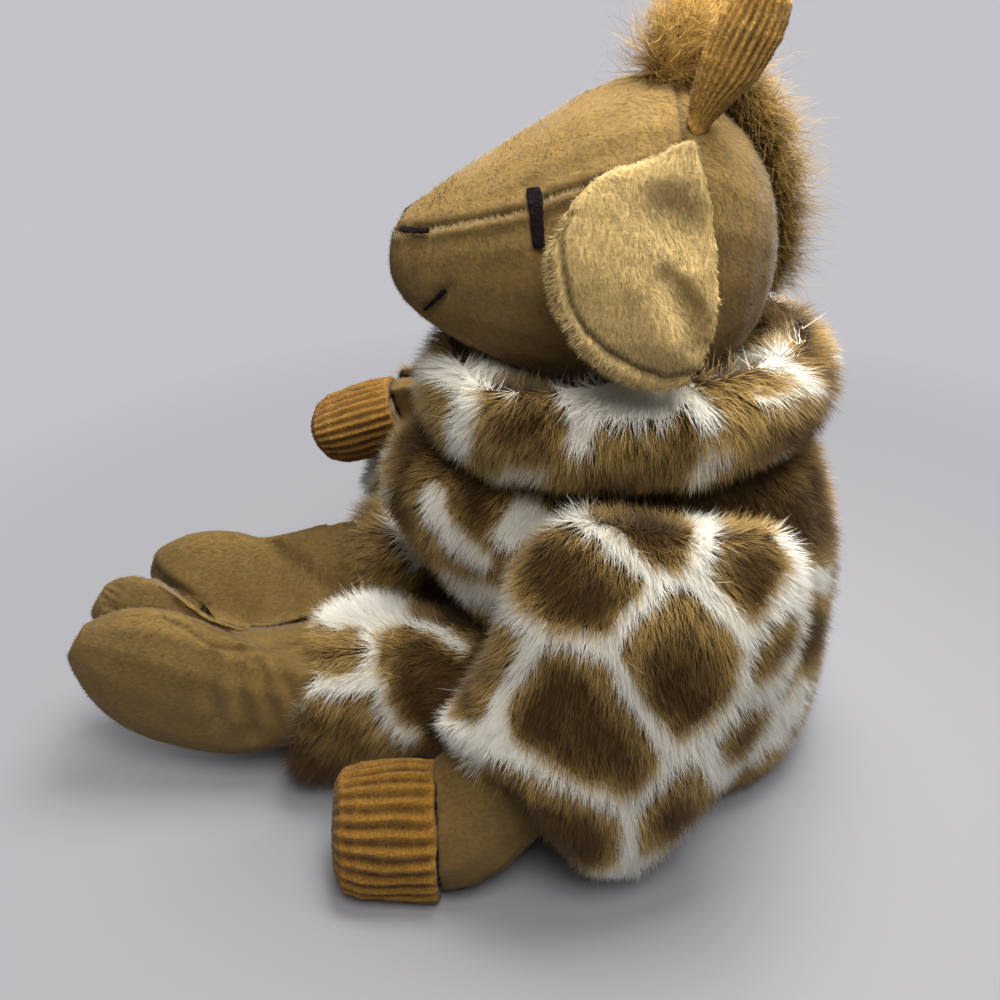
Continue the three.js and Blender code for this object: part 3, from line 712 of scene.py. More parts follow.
# Pale lines between brown fur, each with its width, in pixels of the photograph
PALE_LINES = {
    "collar": [([(432, 360), (480, 370), (508, 374)], 24), ([(470, 372), (466, 398), (461, 440)], 20),
               ([(582, 386), (615, 392), (655, 398)], 46), ([(592, 400), (576, 434)], 26),
               ([(684, 388), (712, 408)], 22), ([(730, 356), (761, 352), (790, 360), (814, 384)], 10),
               ([(752, 392), (782, 390), (796, 376)], 9), ([(508, 470), (541, 476)], 12),
               ([(700, 472), (716, 452), (730, 446)], 12)],
    "suit_body": [([(432, 490), (437, 521), (454, 539), (482, 556)], 24),
                  ([(512, 528), (528, 506), (545, 540)], 34),
                  ([(406, 572), (454, 585), (510, 602)], 22), ([(370, 460), (384, 417)], 18),
                  ([(780, 572), (840, 574)], 26), ([(730, 752), (765, 735), (806, 690)], 32)],
    "trouser_left": [([(340, 606), (366, 602), (394, 606)], 42), ([(376, 620), (374, 660), (386, 700)], 11),
                     ([(300, 668), (340, 684), (375, 680)], 20), ([(386, 705), (412, 736)], 14),
                     ([(412, 618), (440, 626), (470, 646)], 10)],
    "trouser_right": [([(325, 606), (400, 604)], 26), ([(400, 520), (420, 560)], 14)],
}
# Middles of other patches: how many places are tried, and how far they keep from each other and from the
# edge of a patch in the photograph
SPOTS_TRIED = 3000
PATCH_SPACING = 33 * MM
KNOWN_SPACING = 0.55 * PATCH_SPACING
# How far a patch reaches from its middle, how far one in the photograph swells, the cream between two, the
# depth of an edge up to full brown, its waves, and how much strands there differ
PATCH_REACH = 20 * MM
PATCH_SWELL = 3.0 * MM
CREAM_WIDTH = 5 * MM
PATCH_EDGE = 8 * MM
EDGE_WAVES = 1.3 * MM
EDGE_BLUR = 0.02
# How deep a patch in the photograph goes into the toy, as a share of its length
PATCH_DEPTH = 1.7
# Fur of the suit: size of the backing's mesh in millimetres and how often it is evened out, least lean of a
# strand and what is added to it, in radians, and how far a line is followed to see whether it leads out
FUR_VOXEL, FUR_PASSES = 2.0, 40
FUR_LEAN, FUR_CURL = 0.5, 0.65
LOOK_OUT = 250 * MM


def print_of(name, piece, rng):
    """The patches of a piece: those seen in the photograph, and others to fill the rest."""
    tree = tree_of(points_of(piece), triangles_of(piece))
    placed, spread = [], []
    for u, v, long, short, turn in PATCHES.get(name, []):
        hit = tree.ray_cast(CAMERA_PLACE, ray_at(u, v))[0]
        if hit is None:
            continue
        middle = np.array(hit)
        pixel = (middle - np.array(CAMERA_PLACE)) @ FORWARD / FOCAL_PIXELS
        turn = math.radians(turn)
        along = RIGHTWARD * math.cos(turn) + UPWARD * math.sin(turn)
        across = UPWARD * math.cos(turn) - RIGHTWARD * math.sin(turn)
        half = np.array((long, short, PATCH_DEPTH * long)) / 2 * pixel
        axes = np.stack([along, across, FORWARD]) / half[:, None]
        placed.append((middle, axes, math.sqrt(half[0] * half[1])))
    for spot in roots_on(piece, SPOTS_TRIED, rng)[0]:
        away = [np.linalg.norm(spot - other) for other in spread]
        known = [(np.linalg.norm(axes @ (spot - middle)) - 1) * size for middle, axes, size in placed]
        if min(away, default=math.inf) > PATCH_SPACING and min(known, default=math.inf) > KNOWN_SPACING:
            spread.append(spot)
    return placed, spread


def patch_mask(name, places, normals, prints):
    """0.5 at the uneven edge of a brown patch, up to 1 inside it and down to 0 in the cream."""
    placed, spread = prints
    moved = places + swirls(places, 9, 31) * EDGE_WAVES
    known, second = np.full(len(places), np.inf), np.full(len(places), np.inf)
    for middle, axes, size in placed:
        away = (np.linalg.norm((moved - middle) @ axes.T, axis=1) - 1) * size
        second = np.minimum(second, np.maximum(known, away))
        known = np.minimum(known, away)
    inside = np.minimum(PATCH_SWELL - known, (second - known - CREAM_WIDTH) / 2) if placed else -1
    if spread:
        away = np.stack([np.linalg.norm(moved - spot, axis=1) for spot in spread], axis=1)
        away.sort(axis=1)
        filled = np.minimum(PATCH_REACH - away[:, 0], known - PATCH_SWELL - CREAM_WIDTH)
        if len(spread) > 1:
            filled = np.minimum(filled, (away[:, 1] - away[:, 0] - CREAM_WIDTH) / 2)
        inside = np.maximum(inside, filled)
    if name in PALE_LINES:
        lined = np.min([(pixels_from(moved, line) - width / 2) * PIXEL
                        for line, width in PALE_LINES[name]], axis=0)
        seen = facing(places, normals)
        inside = inside * (1 - seen) + lined * seen
    return np.clip(0.5 + inside / (2 * PATCH_EDGE), 0, 1)


def openness(piece):
    """1 on the outside of a hollow piece and 0 on the inside, from which few lines lead out."""
    places, triangles, normals = surface_of(piece)
    tree = tree_of(places, triangles)
    aside = unit(np.cross(normals, (0.31, 0.52, 0.79)))
    other = np.cross(normals, aside)
    turns = np.linspace(0, 2 * math.pi, 6, endpoint=False)
    ways = [normals] + [unit(normals + aside * math.cos(turn) + other * math.sin(turn)) for turn in turns]
    free = np.zeros(len(places))
    for way in ways:
        free += [tree.ray_cast(Vector(p), Vector(w), LOOK_OUT)[0] is None
                 for p, w in zip(places + normals * MM, way)]
    values = smooth_step(free / len(ways), 0.35, 0.75)
    return smoothed(values[:, None], edges_of(piece), 6, swell=0)[:, 0]


def fur_piece(name, body, comb, hollow=True, density=1.0, parts=1, long=1.0, stray=0.3,
              bend=None, hem=None, depth=1.0):
    """A fur part of the suit: its backing, and strands over it in one or more pieces.

    bend moves the points of the backing, hem is 1 where strands are short, and depth darkens the brown.
    """
    rng = rng_of(name)
    backing = even_form(name + "_backing", [name], FUR_VOXEL, FUR_PASSES, bend)
    prints = print_of(name, backing, rng)
    outer = openness(backing) if hollow else np.ones(len(backing.data.vertices))
    push(backing, -sizes().fur_depth * outer)
    set_points(backing, smoothed(points_of(backing), edges_of(backing), 4))
    above_floor(backing)
    places, triangles, normals = surface_of(backing)
    mark(backing, patch_mask(name, places, normals, prints))
    dress(backing, made_once(suit_backing_material), body, "suit_fur", [name])
    # Strands that face away from the photograph are fewer and wider
    wanted = np.clip(outer * 2.5 - 0.5, 0, 1) * (0.5 + 0.5 * facing(places, normals))
    area = (wanted[triangles].mean(axis=1) * areas_of(places[triangles])).sum()
    count = int(area / MM ** 2 * sizes().fur_density * density)
    roots, normals = roots_on(backing, count, rng, wanted)
    width = sizes().fur_width / np.sqrt(0.5 + 0.5 * facing(roots, normals))
    order = np.argsort(roots[:, 1], kind="stable")
    ways = comb(roots, normals)
    tops = roots + normals * sizes().fur_depth
    mask = patch_mask(name, tops, normals, prints) + rng.normal(size=count) * EDGE_BLUR
    deep = np.minimum(0.5 + (mask - 0.5) * (depth(roots) if callable(depth) else depth), 1)
    mask = np.where(mask > 0.5, deep, mask)
    lay = rng.random(count) ** 1.5
    length = sizes().fur_length * long * (0.85 + 0.25 * lay + 0.12 * waves(roots, 12 * MM, 3))
    slope = FUR_LEAN + FUR_CURL * lay
    if hem:
        length *= 1 - 0.45 * hem(roots)
    for part, chosen in enumerate(np.array_split(order, parts), 1):
        hair = grow(name + (f"_fur_{part}" if parts > 1 else "_fur"), roots[chosen], normals[chosen],
                    ways[chosen], length[chosen], width[chosen], lean=slope[chosen], curl=0, rng=rng,
                    patch=mask[chosen], stray=stray)
        dress(hair, made_once(suit_fur_material), body, "suit_fur")
    return backing


# Combs: the way in which strands lie

def nap(direction, size=14, seed=21, sway=0.35):
    """A comb that runs one way, with swirls of a size in millimetres."""
    def comb(places, normals):
        return np.array(direction) + swirls(places, size, seed) * sway
    return comb


def comb_sleeve(places, normals):
    """Down and outwards from the shoulder, and apart to the front and the back."""
    outwards = np.sign(places[:, 0]) * 0.55
    apart = np.clip((places[:, 1] + 20 * MM) / (40 * MM), -1, 1) * 0.6
    return swirls(places, 20, 14) * 0.3 + np.stack([outwards, apart, np.full(len(places), -0.9)], axis=1)


def comb_collar(places, normals):
    """Up over the inner rim and down over the outer side."""
    return swirls(places, 16, 41) * 0.5 + (0, 0, -0.9) + normals * (0.6, 0.6, 0)


# Bends of the clothes. The hem of the left sleeve in pixels of the photograph
SLEEVE_HEM = [(380, 700), (430, 734), (474, 770), (509, 796), (553, 858), (575, 884), (605, 893), (640, 893),
              (690, 868)]


def sleeve_bend(places):
    """Fill the front of the sleeve's shoulder, and draw the hem of the left sleeve up."""
    moved = places.copy()
    left = on_left(places)
    high = smooth_step(left[:, 2], 85 * MM, 120 * MM)
    moved[:, 1] -= 6 * MM * high * smooth_step(-left[:, 1], -10 * MM, 15 * MM)
    return drawn_back(moved, SLEEVE_HEM, 24, places[:, 0] > 0)


def sleeve_hem(places):
    """1 at the hem of the left sleeve."""
    return smooth_step(-places[:, 1] * 0.72 - places[:, 2] * 0.69, 8 * MM, 32 * MM) * (places[:, 0] > 0)


def trouser_bend(places):
    """Draw the top of the hem back, bulge its foot, and raise the top of the right trouser's hem."""
    moved = places.copy()
    front = smooth_step(-places[:, 1], 70 * MM, 130 * MM)
    moved[:, 1] += 11 * MM * smooth_step(places[:, 2], 32 * MM, 62 * MM) * front
    low = smooth_step(-places[:, 2], -34 * MM, -8 * MM) * front
    moved[:, 1] -= 9 * MM * low
    moved[:, 0] += 3 * MM * low * (places[:, 0] > 40 * MM)
    moved[:, 2] += 5 * MM * smooth_step(places[:, 2], 10 * MM, 40 * MM) * front * (places[:, 0] < 0)
    return moved


def trouser_depth(places):
    """Deeper brown away from the hem, partly the print and partly painted shade between the legs, and paler
    brown at the hem.
    """
    return 2.2 - 1.4 * smooth_step(-places[:, 1], 78 * MM, 96 * MM)


def trouser_hem(places):
    """Less than nothing at the hem, where the fur is longer."""
    return -0.6 * smooth_step(-places[:, 1], 88 * MM, 100 * MM)


# Pile of head and limbs: its width, its lean and curl in radians, and how deep its skin lies in millimetres
PILE_WIDTH = 0.17 * MM
PILE_LEAN, PILE_CURL = 1.15, 0.3
PILE_DEPTH = 0.6


def pile_piece(name, nodes, body, shade, voxel, count, comb, relief, bend=None, passes=30, long=None):
    """A stuffed part in tan or paler short pile, the paler one partly painted light: its skin, and short hair
    over it.

    relief gives how far the skin stands out, in millimetres, and how dark it is: the dark of seams, and
    painted shade in creases and under things.
    """
    rng = rng_of(name)
    slot, base = shade + "_pile", getattr(colours(), shade)
    skin = even_form(name, nodes, voxel, passes, bend)
    places, triangles, normals = surface_of(skin)
    out, seam_dark_and_shade = relief(places, normals)
    push(skin, (out - PILE_DEPTH) * MM)
    above_floor(skin)
    mark(skin, seam_dark_and_shade)
    dress(skin, made_once(pile_material, slot, base), body, slot, nodes)
    roots, normals = roots_on(skin, count, rng)
    length = sizes().pile_length * (long(roots) if long else 1)
    hair = grow(name + "_pile", roots, normals, comb(roots, normals), length, PILE_WIDTH, PILE_LEAN,
                PILE_CURL, rng, patch=relief(roots, normals)[1], clump=(1.3, 0.2), stray=0.3, sides=2)
    dress(hair, made_once(pile_hair_material, slot + "_hair", base), body, slot)
    return skin


# Operators: one for each piece or group of like pieces, and one for the stage

# Lamps: place and size in metres, and power in watts
LAMPS = {"overhead": ((-0.05, 0.05, 0.58), 0.28, 5.6), "side": ((0.5, 0.06, 1.0), 0.5, 9.2),
         "front": ((0.45, -0.55, 0.45), 0.4, 0.35)}
LAMP_AIM = Vector((0, -0.05, 0.1))
LAMP_COLOUR = (1.0, 0.98, 0.95)
AMBIENT_COLOUR = (0.98, 0.98, 0.95, 1)
AMBIENT = 0.05
FILM_WIDTH = 36
# Where the floor starts to fade into the backdrop, and where it ends
FADE = (0.14, 0.42)


class GIRAFFE_OT_stage(bpy.types.Operator):
    """Set the camera, the floor and soft studio light"""
    bl_idname = "giraffe.stage"
    bl_label = "Stage"

    def execute(self, context):
        scene = context.scene
        scene.view_settings.view_transform = "Standard"
        camera = link("camera", bpy.data.cameras.new("camera"))
        camera.data.sensor_width = FILM_WIDTH
        camera.data.lens = FILM_WIDTH * FOCAL_PIXELS / IMAGE_SIZE
        camera.data.clip_start = 0.01
        camera.location = CAMERA_PLACE
        camera.rotation_euler = (math.pi / 2 - CAMERA_DOWN, 0, math.pi / 2)
        scene.camera = camera
        form = bmesh.new()
        bmesh.ops.create_grid(form, x_segments=1, y_segments=1, size=4)
        floor = link("floor", bpy.data.meshes.new("floor"))
        form.to_mesh(floor.data)
        form.free()
        finish = Finish("floor", 0.9)
        finish.shader.inputs["Base Color"].default_value = colours().floor
        away = finish.add("ShaderNodeVectorMath", {0: finish.place()}, operation="LENGTH").outputs["Value"]
        seen = finish.add("ShaderNodeLightPath").outputs["Is Camera Ray"]
        share = finish.math("MULTIPLY", finish.ramp(away, *FADE), seen)
        plain = finish.add("ShaderNodeEmission", {"Color": colours().backdrop, "Strength": 1.0}).outputs[0]
        mixed = finish.add("ShaderNodeMixShader", {0: share, 1: finish.shader.outputs[0], 2: plain})
        finish.feed(finish.tree.nodes["Material Output"].inputs[0], mixed.outputs[0])
        floor.data.materials.append(finish.made)
        for name, (place, size, power) in LAMPS.items():
            lamp = link(name, bpy.data.lights.new(name, "AREA"))
            lamp.data.size, lamp.data.energy, lamp.data.color = size, power, LAMP_COLOUR
            lamp.location = place
            lamp.rotation_euler = (LAMP_AIM - Vector(place)).to_track_quat("-Z", "Y").to_euler()
        scene.world = bpy.data.worlds.new("studio")
        scene.world.use_nodes = True
        nodes = Nodes(scene.world.node_tree)
        background = nodes.tree.nodes["Background"].inputs
        path = nodes.add("ShaderNodeLightPath").outputs
        shown = nodes.math("MAXIMUM", path["Is Camera Ray"], path["Is Glossy Ray"])
        shown = nodes.math("MAXIMUM", shown, path["Is Transmission Ray"])
        nodes.feed(background["Color"], nodes.mix(shown, AMBIENT_COLOUR, colours().backdrop))
        nodes.feed(background["Strength"], nodes.ramp(shown, 0, 1, AMBIENT, 1.0))
        return {"FINISHED"}


class GIRAFFE_OT_suit(bpy.types.Operator):
    """Cover the body in the fur suit"""
    bl_idname = "giraffe.suit"
    bl_label = "Suit"

    def execute(self, context):
        backing = fur_piece("suit_body", "torso", nap((0, 0, -1), 22, 11, 0.3), parts=3, density=0.92,
                            depth=0.9)
        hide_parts("stuffed_body", "neck")
        fur_piece("collar", "torso", comb_collar, hollow=False, parts=2, stray=0.27, long=1.25, depth=0.75)
        return {"FINISHED"}


class GIRAFFE_OT_sleeves(bpy.types.Operator):
    """Make the bell-shaped sleeves and the trouser legs"""
    bl_idname = "giraffe.sleeves"
    bl_label = "Sleeves and trousers"

    def execute(self, context):
        for word in SIDES:
            fur_piece("sleeve_" + word, "arm_" + word, comb_sleeve, bend=sleeve_bend, hem=sleeve_hem)
            fur_piece("trouser_" + word, "leg_" + word, nap((0, -0.8, -0.75), 20, 17), bend=trouser_bend,
                      hem=trouser_hem, depth=trouser_depth, density=0.95 if word == "left" else 0.8)
        return {"FINISHED"}


class GIRAFFE_OT_head(bpy.types.Operator):
    """Make the stuffed head with its seams"""
    bl_idname = "giraffe.head"
    bl_label = "Head"

    def execute(self, context):
        skin = pile_piece("head", ["head", "head_top_panel"], "head", "tan", voxel=1.3, count=80000,
                          comb=nap((0, 0.8, -0.6)), relief=head_relief)
        rng = rng_of("head_seam")
        left = on_left(points_of(skin))
        weight = stroke(left, shifted(PANEL_SEAM, 1, 7), 3.5) * (left[:, 1] < PANEL_END)
        roots, normals = roots_on(skin, SEAM_PILE, rng, weight)
        fuzz = grow("head_seam_pile", roots, normals, nap((0, -0.3, 1))(roots, normals), length=1.7 * MM,
                    width=0.16 * MM, lean=0.8, curl=0.3, rng=rng, clump=(1.2, 0.3), stray=0.35, sides=2)
        dress(fuzz, made_once(pile_hair_material, "tan_pile_hair", colours().tan), "head", "tan_pile")
        for word in SIDES:
            for kind in ("eye", "nostril", "mouth"):
                node = f"{kind}_stitch_{word}"
                stitch = even_form(node, [node], voxel=0.35, passes=3)
                along = shape_stitch(stitch, kind)
                dress(stitch, made_once(thread_material), "head", "thread", [node])
                roots, normals = roots_on(stitch, THREADS, rng)
                comb = along * np.sign(rng.normal(size=(THREADS, 1)))
                ends = grow(f"{kind}_thread_{word}", roots, normals, comb, length=1.0 * MM, width=0.3 * MM,
                            lean=1.4, curl=0, rng=rng, clump=(0.6, 0.3), stray=0.12)
                dress(ends, made_once(thread_material), "head", "thread")
        return {"FINISHED"}


# How the stitches are drawn on: share of the length kept, narrowing from the first end to the last, and shift
# at the middle and from there to the last end, in millimetres back and up
STITCHES = {"eye": (0.86, (1.0, 0.72), (0.35, 0), (0.8, 0)),
            "nostril": (0.92, (0.7, 0.9), (0, 1.15), (0, 1.45)),
            "mouth": (0.95, (0.7, 0.8), (0, 0.2), (0, 1.2))}
THREADS = 60


def shape_stitch(stitch, kind):
    """Cut the ends of a stitch square and narrow it; gives the way along it."""
    kept, (first, last), middle, slant = STITCHES[kind]
    places = points_of(stitch)
    centre = (places.max(axis=0) + places.min(axis=0)) / 2
    along = np.linalg.svd(places - centre, full_matrices=False)[2][0]
    along = along * np.sign(along[1] - 2 * along[2] if kind == "eye" else along[1])
    share = (places - centre) @ along
    half = np.abs(share).max()
    across = places - centre - share[:, None] * along
    share = np.clip(share / half, -kept, kept)
    wide = first + (last - first) * (share + 1) / 2
    across[:, 1:] *= wide[:, None]
    moved = centre + share[:, None] * half * along + across
    moved[:, 1] += (middle[0] + slant[0] * share) * MM
    moved[:, 2] += (middle[1] + slant[1] * share) * MM
    set_points(stitch, moved)
    return along


# The seam under the top panel, in pixels of the photograph, and how far back the panel reaches
PANEL_SEAM = [(396, 229), (432, 226), (472, 220), (524, 209), (548, 196), (594, 181), (640, 167), (674, 153),
              (686, 139)]
PANEL_END = -9.6 * MM
SEAM_PILE = 3000


def head_relief(places, normals):
    """Groove along the seam of the top panel, with the pile of the side raised under it."""
    places, normals = on_left(places), on_left(normals, places)
    near = facing(places, normals)
    groove, ridge, above, mouth, nostril, eye = strokes(
        places, near, (PANEL_SEAM, 3.2), (shifted(PANEL_SEAM, 1, 8), 5.5), (shifted(PANEL_SEAM, -1, -9), 7),
        ([(424, 313), (434, 302), (447, 287)], 6), ([(400, 229), (432, 231)], 6),
        ([(532, 192), (539, 248)], 14))
    raised = (0.9 * ridge + 0.4 * above) * fading(places[:, 1] - PANEL_END, 0.8 * MM)
    end = np.exp(-((places[:, 1] - PANEL_END) / (0.9 * MM)) ** 2) * fading(seen_at(places)[1] - 140, 3)
    out = raised - 1.3 * groove - 1.2 * end - 0.8 * mouth - 0.4 * nostril - 0.5 * eye
    return out, np.clip(0.85 * groove + 0.8 * end + 0.3 * mouth, 0, 1)


class GIRAFFE_OT_ears(bpy.types.Operator):
    """Make the hanging ears"""
    bl_idname = "giraffe.ears"
    bl_label = "Ears"

    def execute(self, context):
        for word in SIDES:
            pile_piece("ear_" + word, [f"ear_{word}_back", f"ear_{word}_lining"], "ear_" + word, "pale",
                       voxel=0.8, count=26000, comb=comb_ear, relief=ear_relief, bend=ear_bend, passes=40,
                       long=ear_length)
        return {"FINISHED"}


# Lines of the ear in pixels of the photograph: the seam of its rim, its fold and its dent
RIM_SEAM = [(570, 212), (560, 236), (563, 268), (571, 306), (586, 331), (610, 353), (638, 369), (667, 380),
            (694, 374)]
EAR_FOLD = [(668, 278), (688, 316), (700, 348)]
EAR_DENT = [(672, 216), (682, 226)]
RIM = shifted(RIM_SEAM, -7, 8)


def ear_bend(places):
    """Press a dent and a fold through the whole ear, lift its lower end and round its upper one."""
    left = on_left(places)
    u, v = seen_at(left)
    depth = (5.5 * np.clip((v - 150) / 190, 0, 1) ** 1.3 - 5 * stroke(left, EAR_DENT, 27)
             - 3.0 * stroke(left, EAR_FOLD, 13) + 1.3 * stroke(left, shifted(EAR_FOLD, -32, 4), 20)
             + 1.2 * stroke(left, shifted(EAR_FOLD, 24, -6), 12)
             + 1.5 * stroke(left, [(590, 262), (690, 250)], 40)
             - 0.5 * stroke(left, [(664, 264), (700, 252)], 7))
    moved = places.copy()
    moved[:, 0] += np.sign(places[:, 0]) * depth * MM
    moved[:, 2] += 5 * MM * smooth_step(v, 260, 410) * (0.4 + 0.6 * smooth_step(u, 590, 720))
    top = 0.7 * stroke(left, [(690, 138), (692, 144)], 8) - 1.9 * stroke(left, [(632, 152), (662, 145)], 12)
    moved[:, 2] += top * MM
    moved[:, 1] -= 3 * MM * smooth_step(v, 300, 400) * smooth_step(u, 630, 720)
    return moved


def ear_relief(places, normals):
    """The sewn rim with its seam, and shade in the fold, the dent and along the rim."""
    left = on_left(places)
    seam, rim, fold, low, dent = strokes(
        left, facing(left, on_left(normals, places)), (RIM_SEAM, 3.5), (RIM, 8), (EAR_FOLD, 7),
        (shifted(RIM_SEAM[3:], 10, -12), 20), (EAR_DENT, 24))
    dark = 0.8 * seam + 0.25 * fold + 0.35 * low * (1 - rim) + 0.25 * dent
    return rim - 1.4 * seam, np.clip(dark, 0, 1)


def comb_ear(places, normals):
    """Down the ear, and straight out over its rim."""
    rim = stroke(on_left(places), RIM, 12)[:, None]
    return np.array((0, 0.2, -1)) * (1 - rim) + np.array((0, -1, -0.9)) * rim + swirls(places, 12, 21) * 0.3


def ear_length(places):
    """Longer pile at the rim."""
    return 1 + 1.1 * stroke(on_left(places), RIM, 12)


class GIRAFFE_OT_limbs(bpy.types.Operator):
    """Make the arms and legs in short pile"""
    bl_idname = "giraffe.limbs"
    bl_label = "Limbs"

    def execute(self, context):
        for word in SIDES:
            for kind, count, relief, bend in (("leg_", 45000, leg_relief(word), leg_bend(word)),
                                              ("arm_", 16000, arm_relief, None)):
                pile_piece(kind + word, [kind + word], kind + word, "tan", voxel=1.5, count=count,
                           comb=nap((0, -1, -0.2)), relief=relief, bend=bend)
        return {"FINISHED"}


# Seams and creases of the legs in pixels of the photograph: line, width in pixels, depth in millimetres
# and darkness, which is the seam's own dark on seams and painted shade in creases, folds and gathers
CREASES = {
    "left": [([(162, 616), (187, 628), (206, 642), (225, 648), (250, 647), (287, 645), (318, 639)],
              3, 0.8, 0.6),
             ([(214, 655), (208, 690), (216, 722)], 9, 2.2, 0.2),
             ([(238, 655), (237, 690), (252, 735)], 9, 2.4, 0.2),
             ([(260, 665), (266, 700), (282, 738)], 8, 2.2, 0.2), ([(274, 655), (292, 700)], 7, 1.5, 0.15),
             # Painted shade only, with no relief: along the top of the left foot's inner lobe
             ([(175, 602), (195, 617), (215, 629), (245, 638)], 5, 0, 0.55),
             ([(101, 596), (112, 603)], 2.5, 0.9, 0.5), ([(102, 604), (113, 609)], 2.5, 0.9, 0.5),
             ([(104, 588), (115, 596)], 2.5, 0.9, 0.5), ([(108, 580), (119, 588)], 2.5, 0.8, 0.4)],
    "right": [([(268, 538), (280, 552), (300, 566), (336, 592)], 8, 2.6, 0.5),
              ([(143, 553), (150, 571), (165, 585), (186, 597), (203, 612)], 6, 2.2, 0.75),
              ([(141, 557), (150, 562)], 2.5, 0.8, 0.4), ([(146, 568), (157, 570)], 2.5, 0.8, 0.4)],
}


def arm_relief(places, normals):
    """Painted shade: the pile a little darker all over, and darker still under the sleeve and along the
    underside.
    """
    left = on_left(places)
    dark = 0.25 + 0.5 * np.maximum(stroke(left, [(500, 770), (530, 840), (540, 880)], 26),
                                   stroke(left, [(440, 892), (500, 884), (560, 860)], 16))
    return 0 * dark, dark


# In pixels of the photograph: the top of the left foot, the underside of its leg, and where the outer lobe
# of the right foot hides the cleft
FOOT_TOP = [(340, 616), (300, 622), (270, 629), (240, 630), (210, 620), (195, 609), (175, 593), (155, 580),
            (135, 573), (118, 573), (104, 580)]
FOOT_UNDER = [(60, 716), (115, 742), (160, 752), (208, 756), (240, 755), (275, 746), (310, 736), (340, 728)]
FAR_CLEFT = [(350, 612), (300, 618), (270, 625), (240, 626), (215, 618), (203, 610), (186, 597), (165, 583),
             (150, 571), (141, 556), (134, 538)]


def leg_bend(word):
    """Press the tops of the feet down and the left one's underside up, and raise the right leg's top."""
    def bend(places):
        u, v = seen_at(places)
        if word == "left":
            bare = smooth_step(-u, -350, -315)
            moved = pressed_down(places, FOOT_TOP, 1.25 * bare)
            return drawn_back(moved, FOOT_UNDER, 6, bare, 0.9775)
        bare = smooth_step(-u, -430, -375) * smooth_step(places[:, 0], -43 * MM, -33 * MM)
        moved = pressed_down(places, FAR_CLEFT, 1.42 * bare)
        moved[:, 2] += 4.5 * MM * smooth_step(u, 280, 350) * smooth_step(places[:, 2], 15 * MM, 40 * MM)
        return moved
    return bend


def leg_relief(word):
    """The seams, creases and gathers of a leg, with painted shade over the whole leg and in its creases,
    folds and gathers.
    """
    def relief(places, normals):
        near = facing(places, normals)
        # Painted shade: the whole leg a little darker
        out, dark = 0.25 * waves(places, 16 * MM, 71), np.full(len(places), 0.18)
        for line, width, depth, darkness in CREASES[word]:
            share = stroke(places, line, width) * near
            out = out - depth * share
            dark = np.maximum(dark, darkness * share)
        return out, dark
    return relief


# The horn in pixels of the photograph: height, middle of the solid there, middle and share of its width
# as seen
HORN = ((-20, 745, 755, 0.9), (0, 743, 754, 0.9), (20, 739, 750, 0.92), (40, 734, 743, 0.94),
        (60, 727, 734, 0.96), (80, 718, 723, 0.94), (100, 711, 712, 0.82), (120, 704, 701, 0.68),
        (145, 700, 692, 0.6))
HORN_PIXEL = 0.25 * MM
# Corduroy: how much higher the ribs are than on the solids, and what is taken as their full height
RIB_GAIN = 0.25 * MM
RIB_LIMIT = 1.5


def horn_bend(places):
    """Lean a horn back and narrow its foot."""
    left = on_left(places)
    u, v = seen_at(left)
    solid, middle, share = (np.interp(v, [row[0] for row in HORN], [row[i] for row in HORN])
                            for i in (1, 2, 3))
    moved = places.copy()
    moved[:, 1] += (middle - solid + (u - solid) * (share - 1)) * HORN_PIXEL
    moved[:, 0] += (places[:, 0] - np.sign(places[:, 0]) * np.abs(places[:, 0]).mean()) * (share - 1)
    return moved


def ribs_piece(name, body, kind, voxel, passes, depth, sway, fibres, bend=None):
    """A corduroy part: its ribs, of a depth in millimetres, swaying a little, with short fibres on them."""
    rng = rng_of(name)
    piece = even_form(name, [name], voxel, passes, bend)
    places = points_of(piece)
    plain = smoothed(places, edges_of(piece), 40, shrink=0.6, swell=0)
    normals = normals_of(plain, triangles_of(piece))
    height = np.clip(((places - plain) * normals).sum(axis=1) / (depth * MM), -RIB_LIMIT, RIB_LIMIT)
    store(piece, "rib", height)
    places = places + normals * (height * RIB_GAIN)[:, None] + swirls(places, 9, 81) * sway * MM
    set_points(piece, places)
    above_floor(piece)
    base = getattr(colours(), kind)
    dress(piece, made_once(corduroy_material, kind + "_corduroy", base), body, "corduroy", [name])
    roots, normals = roots_on(piece, fibres, rng, np.clip(height + 0.9, 0.05, 1))
    hair = grow(name + "_nap", roots, normals, swirls(roots, 3, 91), length=0.6 * MM, width=0.2 * MM,
                lean=0.5, curl=0.3, rng=rng, clump=(0.7, 0.3), stray=0.5, sides=2)
    dress(hair, made_once(pile_hair_material, kind + "_nap", base), body, "corduroy")


class GIRAFFE_OT_corduroy(bpy.types.Operator):
    """Make the horns and the hooves of corduroy"""
    bl_idname = "giraffe.corduroy"
    bl_label = "Horns and hooves"

    def execute(self, context):
        for word in SIDES:
            ribs_piece("hoof_" + word, "arm_" + word, "hoof", voxel=0.65, passes=2, depth=0.5, sway=0.45,
                       fibres=22000)
            ribs_piece("horn_" + word, "head", "horn", voxel=0.42, passes=1, depth=0.2, sway=0.2,
                       fibres=8000, bend=horn_bend)
        return {"FINISHED"}


# The mane: the middle of the head, how far its backing lies below the solid and is drawn to that middle, and
# how many hairs and stray hairs it has
HEAD_MIDDLE = np.array((0, -40, 205)) * MM
MANE_DEPTH, MANE_INWARD = 5.5 * MM, 3.5 * MM
HAIRS, STRAYS = 11000, 1500


